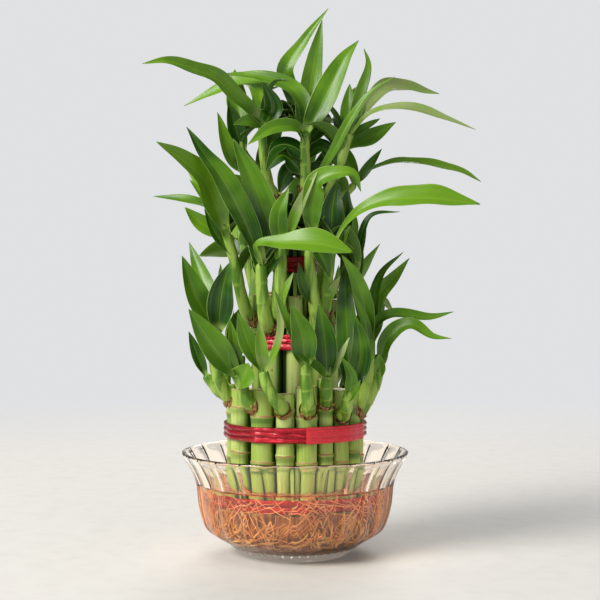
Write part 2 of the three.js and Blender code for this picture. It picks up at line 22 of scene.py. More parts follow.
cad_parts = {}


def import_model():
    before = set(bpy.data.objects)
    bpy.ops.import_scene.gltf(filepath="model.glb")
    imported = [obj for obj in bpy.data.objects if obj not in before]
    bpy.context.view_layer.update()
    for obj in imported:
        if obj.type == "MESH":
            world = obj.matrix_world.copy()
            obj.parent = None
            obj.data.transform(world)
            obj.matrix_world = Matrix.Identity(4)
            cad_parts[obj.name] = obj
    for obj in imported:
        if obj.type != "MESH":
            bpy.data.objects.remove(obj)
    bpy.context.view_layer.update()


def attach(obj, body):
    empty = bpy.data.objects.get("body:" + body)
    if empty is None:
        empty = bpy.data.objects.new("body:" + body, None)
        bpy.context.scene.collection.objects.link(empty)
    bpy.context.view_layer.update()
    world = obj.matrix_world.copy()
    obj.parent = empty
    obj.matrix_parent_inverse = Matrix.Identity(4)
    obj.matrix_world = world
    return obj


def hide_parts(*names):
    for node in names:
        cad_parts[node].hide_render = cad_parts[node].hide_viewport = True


log = logging.getLogger("lucky_bamboo")

MM = 0.001
BODY = "root"
GOLDEN_PART = 0.618
BAND_DIRECTIONS = 96
WELD = 1e-3

Point = Sequence[float]
Profile = list[tuple[float, float]]
Marks = tuple[float, float, float, float]
Lay = Callable[[float, float], tuple[Vector, Marks]]
Chart = Callable[[float, float], tuple[float, float]]
Socket = bpy.types.NodeSocket
Colour = tuple[float, float, float]


def lerp(low: float, high: float, part: float) -> float:
    """Returns the value that lies a given part of the way from low to high."""
    return low + (high - low) * part


def ease(part: float) -> float:
    """Returns a part from 0 to 1 with a slow start and end."""
    part = min(max(part, 0.0), 1.0)
    return part * part * (3.0 - 2.0 * part)


def bell(value: float, centre: float, half: float) -> float:
    """Returns 1 at the centre, falling smoothly to 0 at half away from it and beyond."""
    return ease(1.0 - abs(value - centre) / half)


def spread(number: float) -> float:
    """Returns the part of a number after its decimal point, which spreads repeats evenly."""
    return number - math.floor(number)


def around(angle: float, radius: float, height: float) -> Vector:
    """Returns the point at an angle round the plant, at a radius and a height."""
    turn = math.radians(angle)
    return Vector((radius * math.sin(turn), -radius * math.cos(turn), height))


def ripple(place: Point) -> float:
    """Returns smooth noise from -1 to 1 at a place in a pattern."""
    return noise.noise(Vector(place))


def beside(middle: Vector, across: Vector, over: Vector, turn: float, radius: float) -> Vector:
    """Returns the point at a turn and a radius round a middle, by the two ways across it."""
    return middle + (across * math.cos(turn) + over * math.sin(turn)) * radius


class Route:
    """A smooth curve through given points, walked by its length: a centripetal Catmull-Rom spline."""

    SAMPLES = 16

    def __init__(self, points: Sequence[Vector]) -> None:
        """Sets up the curve.

        Args:
            points: The points that it passes, in order. There are at least two.
        """
        ends = [2 * points[0] - points[1], *points, 2 * points[-1] - points[-2]]
        self._walk = [points[0].copy()]
        for i in range(len(points) - 1):
            self._add_span(ends[i:i + 4])
        self._length = [0.0]
        for start, end in zip(self._walk, self._walk[1:]):
            self._length.append(self._length[-1] + (end - start).length)

    def _add_span(self, four: Sequence[Vector]) -> None:
        """Adds the samples of the span between the middle two of four points.

        Args:
            four: The point before the span, its two ends and the point after it.
        """
        before, start, end, after = four
        gap_before, gap, gap_after = (
            math.sqrt(max((far - near).length, WELD)) for near, far in zip(four, four[1:])
        )
        leave = (start - before) / gap_before - (end - before) / (gap_before + gap) + (end - start) / gap
        arrive = (end - start) / gap - (after - start) / (gap + gap_after) + (after - end) / gap_after
        leave, arrive = leave * gap, arrive * gap
        for i in range(1, self.SAMPLES + 1):
            t = i / self.SAMPLES
            self._walk.append(
                start * (2 * t**3 - 3 * t**2 + 1) + leave * (t**3 - 2 * t**2 + t)
                + end * (3 * t**2 - 2 * t**3) + arrive * (t**3 - t**2)
            )

    def _find(self, part: float) -> tuple[int, float]:
        """Returns the sample before a part of the length, and how far on it lies towards the next one."""
        wanted = min(max(part, 0.0), 1.0) * self._length[-1]
        low, high = 0, len(self._length) - 2
        while low < high:
            middle = (low + high + 1) // 2
            if self._length[middle] <= wanted:
                low = middle
            else:
                high = middle - 1
        step = self._length[low + 1] - self._length[low]
        return low, (wanted - self._length[low]) / max(step, 1e-9)

    def at(self, part: float) -> Vector:
        """Returns the point at a part of the length, from 0 to 1."""
        i, rest = self._find(part)
        return self._walk[i].lerp(self._walk[i + 1], rest)

    def along(self, part: float) -> Vector:
        """Returns the direction of the curve at a part of the length."""
        return (self.at(part + 0.02) - self.at(part - 0.02)).normalized()

    @property
    def length(self) -> float:
        """The length of the whole curve."""
        return self._length[-1]


class Shape:
    """A piece while it is shaped: a mesh with a UV map and one attribute of marks that its finish reads."""

    def __init__(self, name: str) -> None:
        """Starts an empty piece.

        Args:
            name: The name of the finished object.
        """
        self.name = name
        self.mesh = bmesh.new()
        self.uv = self.mesh.loops.layers.uv.new("UVMap")
        self.marks = self.mesh.verts.layers.float_color.new("marks")

    def sheet(self, across: int, along: int, lay: Lay, chart: Chart | None = None) -> None:
        """Adds a grid that is laid round on to itself as a closed rod, blade or ring.

        Args:
            across: How many faces it has the short way, round the section.
            along: How many faces it has the long way.
            lay: Gives the place and marks for two parts from 0 to 1, round the section and along it.
            chart: Gives the place on the UV map for the same two parts. Without it they are the map.
        """
        made = bmesh.ops.create_grid(self.mesh, x_segments=across, y_segments=along, size=1.0, calc_uvs=False)
        faces = {face for vert in made["verts"] for face in vert.link_faces}
        for face in faces:
            for loop in face.loops:
                parts = (loop.vert.co.x + 1.0) / 2.0, (loop.vert.co.y + 1.0) / 2.0
                loop[self.uv].uv = chart(*parts) if chart else parts
        for vert in made["verts"]:
            vert.co, vert[self.marks] = lay((vert.co.x + 1.0) / 2.0, (vert.co.y + 1.0) / 2.0)
        bmesh.ops.remove_doubles(self.mesh, verts=made["verts"], dist=WELD)

    def turned(self, profile: Profile, steps: int, mark: Callable[[Vector], Marks] | None = None) -> None:
        """Adds a profile turned once about Z.

        Args:
            profile: The radius and height of each point, from the axis or closed on itself.
            steps: How many faces go round.
            mark: Gives the marks for a place, if the finish reads any.
        """
        line = [self.mesh.verts.new((radius, 0.0, height)) for radius, height in profile]
        edges = [self.mesh.edges.new(pair) for pair in zip(line, line[1:])]
        bmesh.ops.spin(
            self.mesh, geom=[*line, *edges], cent=(0, 0, 0), axis=(0, 0, 1), angle=math.tau,
            steps=steps, use_merge=True, use_duplicate=False,
        )
        bmesh.ops.remove_doubles(self.mesh, verts=self.mesh.verts, dist=WELD)
        if mark:
            for vert in self.mesh.verts:
                vert[self.marks] = mark(vert.co)

    def push(self, rule: Callable[[Vector], Vector]) -> None:
        """Moves every vertex to where the rule says for its place."""
        for vert in self.mesh.verts:
            vert.co = rule(vert.co)

    def finish(self, material: bpy.types.Material, slot: str, *nodes: str) -> bpy.types.Object:
        """Makes the object, in metres, and lets it stand for its nodes.

        Args:
            material: Its finish.
            slot: The name of a record's material slot. It is not used.
            nodes: The nodes of the frame that it replaces.

        Returns:
            The object, which rides on the plant's one body.
        """
        bmesh.ops.recalc_face_normals(self.mesh, faces=self.mesh.faces)
        bmesh.ops.scale(self.mesh, vec=(MM, MM, MM), verts=self.mesh.verts)
        for face in self.mesh.faces:
            face.smooth = True
        data = bpy.data.meshes.new(self.name)
        self.mesh.to_mesh(data)
        self.mesh.free()
        data.materials.append(material)
        piece = bpy.data.objects.new(self.name, data)
        bpy.context.scene.collection.objects.link(piece)
        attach(piece, BODY)
        if nodes:
            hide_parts(*nodes)
        log.info("%s: %d faces", self.name, len(data.polygons))
        return piece


def shade(red: int, green: int, blue: int) -> Colour:
    """Returns a colour given as it looks on a screen, from 0 to 255, as the linear one that shaders use."""
    def linear(level: int) -> float:
        """Returns one channel in linear light."""
        part = level / 255.0
        return part / 12.92 if part <= 0.04045 else ((part + 0.055) / 1.055) ** 2.4
    return linear(red), linear(green), linear(blue)


class Wiring:
    """Builds a node tree: its methods add nodes, and return what these give."""

    def __init__(self, tree: bpy.types.NodeTree) -> None:
        """Starts on a tree.

        Args:
            tree: The node tree of a material or a group.
        """
        self.tree = tree

    def node(self, kind: str, **settings: object) -> bpy.types.Node:
        """Adds a node.

        Args:
            kind: The node's type, without the leading ShaderNode.
            settings: Properties of the node.

        Returns:
            The node.
        """
        made = self.tree.nodes.new("ShaderNode" + kind)
        for name, value in settings.items():
            setattr(made, name, value)
        return made

    def feed(self, socket: Socket, value: object) -> None:
        """Links an output to a socket, or sets the socket to a plain value."""
        if isinstance(value, bpy.types.NodeSocket):
            self.tree.links.new(value, socket)
        elif isinstance(value, tuple) and len(value) == 3 and socket.type == "RGBA":
            socket.default_value = (*value, 1.0)
        else:
            socket.default_value = value

    def math(self, operation: str, first: object, second: object = 0.0, clamp: bool = False) -> Socket:
        """Returns the result of a sum on one or two values."""
        made = self.node("Math", operation=operation, use_clamp=clamp)
        self.feed(made.inputs[0], first)
        self.feed(made.inputs[1], second)
        return made.outputs[0]

    def ramp(self, value: object, low: float, high: float, start: float = 0.0, end: float = 1.0) -> Socket:
        """Returns a value moved from one range to another, eased and clamped at both ends."""
        made = self.node("MapRange", interpolation_type="SMOOTHSTEP", clamp=True)
        titles = ("Value", "From Min", "From Max", "To Min", "To Max")
        for title, part in zip(titles, (value, low, high, start, end)):
            self.feed(made.inputs[title], part)
        return made.outputs["Result"]

    def mix(self, amount: object, first: object, second: object) -> Socket:
        """Returns a mix of two colours."""
        made = self.node("Mix", data_type="RGBA", clamp_factor=True)
        colours = [socket for socket in made.inputs if socket.type == "RGBA"]
        self.feed(made.inputs[0], amount)
        self.feed(colours[0], first)
        self.feed(colours[1], second)
        return next(socket for socket in made.outputs if socket.type == "RGBA")

    def parts(self, vector: Socket) -> tuple[Socket, ...]:
        """Returns the X, Y and Z of a vector."""
        made = self.node("SeparateXYZ")
        self.feed(made.inputs[0], vector)
        return tuple(made.outputs)

    def joined(self, x: object, y: object, z: object) -> Socket:
        """Returns a vector made of its three parts."""
        made = self.node("CombineXYZ")
        for socket, part in zip(made.inputs, (x, y, z)):
            self.feed(socket, part)
        return made.outputs[0]

    def scaled(self, vector: Socket, x: object, y: object, z: object) -> Socket:
        """Returns a vector with each part multiplied by its own factor."""
        made = self.node("VectorMath", operation="MULTIPLY")
        self.feed(made.inputs[0], vector)
        self.feed(made.inputs[1], self.joined(x, y, z))
        return made.outputs[0]

    def upright(self, vector: Socket) -> Socket:
        """Returns a vector with Y and Z swapped, for effects that run along Y on a piece that stands up."""
        x, y, z = self.parts(vector)
        return self.joined(x, z, y)

    def noise(self, vector: Socket, scale: float, detail: float = 3.0, rough: float = 0.5) -> Socket:
        """Returns a noise value from 0 to 1."""
        made = self.node("TexNoise", noise_dimensions="3D")
        for name, value in (("Vector", vector), ("Scale", scale), ("Detail", detail), ("Roughness", rough)):
            self.feed(made.inputs[name], value)
        return made.outputs["Fac"]

    def bump(self, height: Socket, strength: object, distance: float) -> Socket:
        """Returns a normal raised by a height."""
        made = self.node("Bump")
        self.feed(made.inputs["Strength"], strength)
        self.feed(made.inputs["Distance"], distance)
        self.feed(made.inputs["Height"], height)
        return made.outputs["Normal"]

    def group(self, tree: bpy.types.NodeTree, **values: object) -> bpy.types.Node:
        """Adds a node group and feeds its inputs by name, with _ for a space."""
        made = self.node("Group", node_tree=tree)
        for name, value in values.items():
            self.feed(made.inputs[name.replace("_", " ")], value)
        return made

    def place(self) -> Socket:
        """Returns the place on the piece."""
        return self.node("TexCoord").outputs["Object"]

    def chart(self) -> Socket:
        """Returns the place on the piece's UV map."""
        return self.node("UVMap", uv_map="UVMap").outputs["UV"]

    def marks(self) -> tuple[Socket, ...]:
        """Returns the four marks that the piece carries, each as a number."""
        attribute = self.node("Attribute", attribute_name="marks")
        split = self.node("SeparateColor")
        self.feed(split.inputs[0], attribute.outputs["Color"])
        first_three = (split.outputs[title] for title in ("Red", "Green", "Blue"))
        return *first_three, attribute.outputs["Alpha"]


class SharedEffects:
    """The shader node groups of the finishes: fibres for most of them, and flecks for the canes."""

    def __init__(self) -> None:
        """Builds each group once."""
        self.fibres = self._fibres()
        self.flecks = self._flecks()

    @staticmethod
    def _new(name: str, inputs: Sequence[str], outputs: Sequence[str]) -> tuple[Wiring, dict, dict]:
        """Starts a group that takes a place and some numbers, and gives numbers.

        Args:
            name: The group's name.
            inputs: The names of the numbers that it takes.
            outputs: The names of the numbers that it gives.

        Returns:
            Its wiring, its input sockets by name, and its output sockets by name.
        """
        tree = bpy.data.node_groups.new(name, "ShaderNodeTree")
        tree.interface.new_socket("Place", in_out="INPUT", socket_type="NodeSocketVector")
        for way, titles in (("INPUT", inputs), ("OUTPUT", outputs)):
            for title in titles:
                tree.interface.new_socket(title, in_out=way, socket_type="NodeSocketFloat")
        entry = tree.nodes.new("NodeGroupInput")
        leave = tree.nodes.new("NodeGroupOutput")
        return Wiring(tree), {s.name: s for s in entry.outputs}, {s.name: s for s in leave.inputs}

    def _fibres(self) -> bpy.types.NodeTree:
        """Returns long fine fibres: noise drawn out along one way, in a broad and a fine run."""
        wiring, given, out = self._new("plant_fibres", ("Across", "Along", "Contrast"), ("Fibres", "Streaks"))
        fine = wiring.scaled(given["Place"], given["Across"], given["Along"], given["Across"])
        broad = wiring.scaled(fine, 0.23, 0.4, 0.23)
        for title, place in (("Fibres", fine), ("Streaks", broad)):
            centred = wiring.math("SUBTRACT", wiring.noise(place, 1.0, 2.0), 0.5)
            stronger = wiring.math("MULTIPLY", centred, given["Contrast"])
            wiring.feed(out[title], wiring.math("ADD", stronger, 0.5, True))
        return wiring.tree

    def _flecks(self) -> bpy.types.NodeTree:
        """Returns small scattered marks, each drawn out a little, with bare stretches between them."""
        wiring, given, out = self._new("small_flecks", ("Across", "Along", "Size"), ("Flecks",))
        place = wiring.scaled(given["Place"], given["Across"], given["Across"], given["Along"])
        cells = wiring.node("TexVoronoi", feature="F1")
        wiring.feed(cells.inputs["Vector"], place)
        wiring.feed(cells.inputs["Scale"], 1.0)
        near = wiring.math("LESS_THAN", cells.outputs["Distance"], given["Size"])
        some = wiring.math("GREATER_THAN", wiring.noise(place, 0.35, 1.0), 0.56)
        wiring.feed(out["Flecks"], wiring.math("MULTIPLY", near, some))
        return wiring.tree


class Finish:
    """What every finish shares: a material with one Principled shader, wired by its own rule."""

    name: str = "finish"

    def wire(self, wiring: Wiring, shader: bpy.types.Node, effects: SharedEffects) -> None:
        """Wires the shader. Each finish has its own rule."""
        raise NotImplementedError

    def build(self, effects: SharedEffects) -> bpy.types.Material:
        """Makes the material.

        Args:
            effects: The node groups that it may use.

        Returns:
            The material.
        """
        material = bpy.data.materials.new(self.name)
        material.use_nodes = True
        wiring = Wiring(material.node_tree)
        shader = next(node for node in material.node_tree.nodes if node.type == "BSDF_PRINCIPLED")
        self.wire(wiring, shader, effects)
        return material


@dataclass(frozen=True)
class ClearFinish(Finish):
    """What glass and water share: both are smooth and clear, with a tint and small ripples."""

    tint: Colour = (1.0, 1.0, 1.0)
    passed: Colour = (1.0, 1.0, 1.0)
    roughness: float = 0.0
    refraction: float = 1.5
    clear: float = 1.0
    ripple_scale: float = 90.0
    ripple_strength: float = 0.25
    ripple_height: float = 0.001

    def wire(self, wiring: Wiring, shader: bpy.types.Node, effects: SharedEffects) -> None:
        """Wires a clear shader, with its ripples as a bump."""
        wiring.feed(shader.inputs["Base Color"], self.tint)
        wiring.feed(shader.inputs["Roughness"], self.roughness)
        wiring.feed(shader.inputs["IOR"], self.refraction)
        wiring.feed(shader.inputs["Transmission Weight"], self.clear)
        ripples = wiring.noise(wiring.place(), self.ripple_scale, 1.0)
        wiring.feed(shader.inputs["Normal"], wiring.bump(ripples, self.ripple_strength, self.ripple_height))
        self._pass_lamps(wiring, shader)

    def _pass_lamps(self, wiring: Wiring, shader: bpy.types.Node) -> None:
        """Lets lamps shine through the shader, which their light would else pass only by chance.

        Args:
            wiring: The material's wiring.
            shader: The clear shader.
        """
        leave = next(node for node in wiring.tree.nodes if node.type == "OUTPUT_MATERIAL")
        through = wiring.node("BsdfTransparent")
        wiring.feed(through.inputs["Color"], self.passed)
        mix = wiring.node("MixShader")
        wiring.feed(mix.inputs[0], wiring.node("LightPath").outputs["Is Shadow Ray"])
        wiring.feed(mix.inputs[1], shader.outputs[0])
        wiring.feed(mix.inputs[2], through.outputs[0])
        wiring.feed(leave.inputs["Surface"], mix.outputs[0])


@dataclass(frozen=True)
class ClearGlass(ClearFinish):
    """Pressed clear glass with a faint warm tint, and a faint glow in its foot.

    The glow stands in for the light that a real pressed foot gathers.
    """

    name: str = "clear_glass"
    tint: Colour = shade(250, 238, 224)
    passed: Colour = (0.93, 0.93, 0.92)
    foot_glow: float = 0.06
    foot_low: float = 0.002
    foot_high: float = 0.008

    def wire(self, wiring: Wiring, shader: bpy.types.Node, effects: SharedEffects) -> None:
        """Wires clear glass, and the glow that fades out above its foot."""
        super().wire(wiring, shader, effects)
        _, _, height = wiring.parts(wiring.place())
        above_foot = wiring.ramp(height, self.foot_low, self.foot_high)
        wiring.feed(shader.inputs["Emission Color"], wiring.mix(above_foot, self.tint, shade(0, 0, 0)))
        wiring.feed(shader.inputs["Emission Strength"], self.foot_glow)


@dataclass(frozen=True)
class ClearWater(ClearFinish):
    """Still water with the faint peach tint that roots give it."""

    name: str = "root_water"
    tint: Colour = shade(252, 226, 196)
    passed: Colour = (0.97, 0.94, 0.9)
    refraction: float = 1.33
    ripple_scale: float = 60.0
    ripple_strength: float = 0.12


@dataclass(frozen=True)
class FoilFinish(Finish):
    """Crimson metallised ribbon, creased along its strands. Marks: painted shade, seed, flat end with a
    painted sheen.
    """

    name: str = "crimson_foil"
    bright: Colour = shade(216, 26, 52)
    deep: Colour = shade(150, 8, 28)
    # dark: painted shade in the gaps between the strands and on the side that faces the canes.
    dark: Colour = shade(34, 2, 8)
    # flat: the flat end painted lighter, a painted sheen where it lies flat.
    flat: Colour = shade(248, 46, 62)

    def wire(self, wiring: Wiring, shader: bpy.types.Node, effects: SharedEffects) -> None:
        """Wires glossy foil with creases that run along it."""
        gap, _, flat_end, _ = wiring.marks()
        creases = wiring.group(effects.fibres, Place=wiring.chart(), Across=38.0, Along=14.0, Contrast=2.0)
        colour = wiring.mix(creases.outputs["Streaks"], self.deep, self.bright)
        # The flat end takes its lighter colour, a painted sheen.
        colour = wiring.mix(flat_end, colour, self.flat)
        # Painted shade where the gap mark is set.
        colour = wiring.mix(gap, colour, self.dark)
        wiring.feed(shader.inputs["Base Color"], colour)
        wiring.feed(shader.inputs["Metallic"], wiring.ramp(flat_end, 0.0, 0.8, 0.65, 0.15))
        wiring.feed(shader.inputs["Roughness"], wiring.ramp(creases.outputs["Fibres"], 0.2, 0.8, 0.14, 0.32))
        wiring.feed(shader.inputs["Coat Weight"], 0.5)
        wiring.feed(shader.inputs["Coat Roughness"], 0.12)
        strength = wiring.ramp(flat_end, 0.0, 0.8, 0.4, 0.06)
        wiring.feed(shader.inputs["Normal"], wiring.bump(creases.outputs["Fibres"], strength, 0.001))


@dataclass(frozen=True)
class RootFinish(Finish):
    """Roots. Marks: how salmon, how golden, how pale, seed."""

    name: str = "roots"
    brown: Colour = shade(104, 50, 18)
    salmon: Colour = shade(248, 128, 98)
    golden: Colour = shade(240, 188, 58)
    pale: Colour = shade(255, 222, 168)

    def wire(self, wiring: Wiring, shader: bpy.types.Node, effects: SharedEffects) -> None:
        """Wires roots that run from brown to salmon, gold or pale, with a fine speckle."""
        salmon, golden, pale, _ = wiring.marks()
        speckle = wiring.noise(wiring.place(), 420.0)
        colour = wiring.mix(salmon, self.brown, self.salmon)
        colour = wiring.mix(golden, colour, self.golden)
        colour = wiring.mix(pale, colour, self.pale)
        colour = wiring.mix(wiring.ramp(speckle, 0.35, 0.75, 0.0, 0.25), colour, self.brown)
        wiring.feed(shader.inputs["Base Color"], colour)
        wiring.feed(shader.inputs["Roughness"], wiring.ramp(speckle, 0.3, 0.7, 0.45, 0.65))
        wiring.feed(shader.inputs["Normal"], wiring.bump(speckle, 0.3, 0.0004))


@dataclass(frozen=True)
class CaneFinish(Finish):
    """Waxy green cane. Marks: node ring, dark (to 0.7 a band under a node, past it painted shade between
    canes), cut top, seed.
    """

    name: str = "green_cane"
    pale: Colour = shade(210, 224, 138)
    green: Colour = shade(164, 194, 80)
    deep: Colour = shade(78, 122, 26)
    # gap: painted shade on the sides of a cane that face its neighbours.
    gap: Colour = shade(30, 44, 8)
    scar: Colour = shade(178, 142, 90)
    cut: Colour = shade(214, 204, 146)
    fleck: Colour = shade(100, 92, 32)

    def wire(self, wiring: Wiring, shader: bpy.types.Node, effects: SharedEffects) -> None:
        """Wires the cane: upright streaks, flecks, tan node rings over a darker band, painted shade between
        canes and a pale cut top.
        """
        node_ring, dark, top, seed = wiring.marks()
        place = wiring.place()
        fibres = wiring.group(
            effects.fibres, Place=wiring.upright(place), Across=900.0, Along=22.0, Contrast=1.6,
        )
        cloud = wiring.noise(wiring.scaled(place, 1.0, 1.0, 0.45), 60.0, 2.0)
        colour = wiring.mix(wiring.ramp(cloud, 0.35, 0.7), self.pale, self.green)
        colour = wiring.mix(wiring.ramp(seed, 0.0, 1.0, 0.0, 0.7), colour, self.green)
        colour = wiring.mix(wiring.ramp(fibres.outputs["Fibres"], 0.45, 0.9, 0.0, 0.4), colour, self.deep)
        # The dark mark paints the band under each node, and painted shade where a cane faces its neighbours:
        # deep green, then past 0.7 the gap colour.
        colour = wiring.mix(wiring.ramp(dark, 0.0, 0.7, 0.0, 0.9), colour, self.deep)
        colour = wiring.mix(wiring.ramp(dark, 0.7, 1.0, 0.0, 0.85), colour, self.gap)
        flecks = wiring.group(effects.flecks, Place=place, Across=330.0, Along=140.0, Size=0.17)
        colour = wiring.mix(wiring.math("MULTIPLY", flecks.outputs["Flecks"], 0.7), colour, self.fleck)
        uneven = wiring.math("SUBTRACT", fibres.outputs["Streaks"], 0.5)
        ring = wiring.ramp(wiring.math("ADD", node_ring, uneven), 0.42, 0.62)
        colour = wiring.mix(ring, colour, self.scar)
        colour = wiring.mix(top, colour, self.cut)
        wiring.feed(shader.inputs["Base Color"], colour)
        wiring.feed(shader.inputs["Roughness"], wiring.ramp(cloud, 0.3, 0.7, 0.38, 0.52))
        height = wiring.math("ADD", wiring.math("MULTIPLY", fibres.outputs["Fibres"], 0.4), ring)
        wiring.feed(shader.inputs["Normal"], wiring.bump(height, 0.3, 0.0005))


class Tone(Enum):
    """How light a leaf's green is, from 0 up to 1. Past that it is faded."""

    DARK = 0.09
    MID = 0.42
    BRIGHT = 0.72
    PALE = 1.1


@dataclass(frozen=True)
class LeafFinish(Finish):
    """Glossy leaf with parallel veins. Marks: tone, seed, upper side, how pale its base is."""

    name: str = "glossy_leaf"
    dark: Colour = shade(20, 72, 2)
    mid: Colour = shade(84, 132, 20)
    bright: Colour = shade(108, 156, 28)
    faded: Colour = shade(142, 160, 96)
    base: Colour = shade(184, 214, 112)
    under: Colour = shade(116, 158, 62)
    edge: Colour = shade(206, 222, 140)
    midrib: Colour = shade(168, 204, 88)
    light: Colour = shade(150, 192, 34)

    def wire(self, wiring: Wiring, shader: bpy.types.Node, effects: SharedEffects) -> None:
        """Wires the blade: tone, veins, midrib, light edge, and a duller underside."""
        tone, seed, upper, pale_base = wiring.marks()
        across, along, _ = wiring.parts(wiring.chart())
        from_middle = wiring.math("ABSOLUTE", wiring.math("SUBTRACT", across, 0.5))
        veins = wiring.group(
            effects.fibres, Place=wiring.joined(across, along, seed), Across=64.0, Along=1.2, Contrast=1.6,
        )
        cloud = wiring.noise(wiring.place(), 45.0, 2.0)
        shaded = wiring.math("ADD", tone, wiring.ramp(cloud, 0.3, 0.7, -0.18, 0.18))
        shaded = wiring.math("ADD", shaded, wiring.ramp(along, 0.1, 1.0, -0.1, 0.12))
        colour = wiring.mix(wiring.ramp(shaded, 0.0, 0.45), self.dark, self.mid)
        colour = wiring.mix(wiring.ramp(shaded, 0.4, 0.72), colour, self.bright)
        colour = wiring.mix(wiring.ramp(shaded, 0.93, 1.15), colour, self.faded)
        light_run = wiring.mix(0.4, colour, self.light)
        colour = wiring.mix(wiring.ramp(veins.outputs["Streaks"], 0.35, 0.85, 0.0, 0.32), colour, light_run)
        dark_run = wiring.mix(0.4, colour, self.dark)
        colour = wiring.mix(wiring.ramp(veins.outputs["Fibres"], 0.5, 0.95, 0.0, 0.3), colour, dark_run)
        colour = wiring.mix(wiring.ramp(from_middle, 0.0, 0.16, 0.25, 0.0), colour, light_run)
        dull = wiring.mix(0.5, colour, self.under)
        colour = wiring.mix(upper, dull, colour)
        colour = wiring.mix(wiring.ramp(from_middle, 0.004, 0.02, 0.24, 0.0), colour, self.midrib)
        colour = wiring.mix(pale_base, colour, self.base)
        colour = wiring.mix(wiring.ramp(from_middle, 0.47, 0.495, 0.0, 0.45), colour, self.edge)
        wiring.feed(shader.inputs["Base Color"], colour)
        wiring.feed(shader.inputs["Roughness"], wiring.ramp(upper, 0.0, 1.0, 0.5, 0.3))
        wiring.feed(shader.inputs["Specular IOR Level"], 0.36)
        wiring.feed(shader.inputs["Coat Weight"], wiring.ramp(upper, 0.0, 1.0, 0.0, 0.16))
        wiring.feed(shader.inputs["Coat Roughness"], 0.22)
        wiring.feed(shader.inputs["Normal"], wiring.bump(veins.outputs["Fibres"], 0.18, 0.0005))


@dataclass(frozen=True)
class StemFinish(Finish):
    """Soft young stem in its leaf sheaths. Marks: papery husk, sheath edge, green, seed."""

    name: str = "shoot_stem"
    pale: Colour = shade(162, 194, 80)
    green: Colour = shade(88, 136, 26)
    husk: Colour = shade(190, 146, 88)
    husk_dark: Colour = shade(98, 54, 26)

    def wire(self, wiring: Wiring, shader: bpy.types.Node, effects: SharedEffects) -> None:
        """Wires pale and green stripes up the stem, and brown papery husks at its foot."""
        husk, edge, green, _ = wiring.marks()
        place = wiring.upright(wiring.place())
        fibres = wiring.group(effects.fibres, Place=place, Across=1100.0, Along=70.0, Contrast=2.2)
        streaks = wiring.ramp(fibres.outputs["Streaks"], 0.2, 0.8, -0.35, 0.35)
        green = wiring.ramp(wiring.math("ADD", green, streaks), 0.1, 0.9)
        colour = wiring.mix(green, self.pale, self.green)
        colour = wiring.mix(wiring.math("MULTIPLY", edge, 0.7), colour, self.pale)
        papery = wiring.mix(wiring.ramp(fibres.outputs["Fibres"], 0.3, 0.75), self.husk, self.husk_dark)
        frayed = wiring.ramp(fibres.outputs["Fibres"], 0.2, 0.8, -0.25, 0.25)
        ragged = wiring.ramp(wiring.math("ADD", husk, frayed), 0.3, 0.7)
        colour = wiring.mix(ragged, colour, papery)
        wiring.feed(shader.inputs["Base Color"], colour)
        wiring.feed(shader.inputs["Roughness"], wiring.ramp(husk, 0.0, 1.0, 0.42, 0.75))
        wiring.feed(shader.inputs["Normal"], wiring.bump(fibres.outputs["Fibres"], 0.3, 0.0005))


@dataclass(frozen=True)
class Leaf:
    """A leaf: its width, the points of its midrib, its tone, how it is rolled and where it is widest."""

    width: float
    points: Sequence[Point]
    tone: Tone
    roll: float = 0.0
    widest: float = 0.42


@dataclass(frozen=True)
class Stem:
    """A stem: its radius and the points that it passes after it leaves its cane."""

    radius: float
    points: Sequence[Point]


class Tier(Enum):
    """The three tiers of canes, by the radius of their ring."""

    OUTER = 33.0
    MIDDLE = 20.2
    INNER = 8.5


@dataclass(frozen=True)
class Shoot:
    """A shoot: its name, the tier and number of its cane, where it leaves it, its stems, leaves and turn.

    It stands for the node of its name, unless it is an extra one, which only the visual model has.
    """

    name: str
    tier: Tier
    number: int
    seat: float
    stems: Sequence[Stem]
    leaves: Sequence[Leaf]
    turn: float = 0.0
    extra: bool = False

    def repeated(self, name: str, number: int, degrees: float, extra: bool = False) -> Shoot:
        """Returns this shoot turned round the plant on to another cane of its tier."""
        return replace(self, name=name, number=number, turn=degrees, extra=extra)


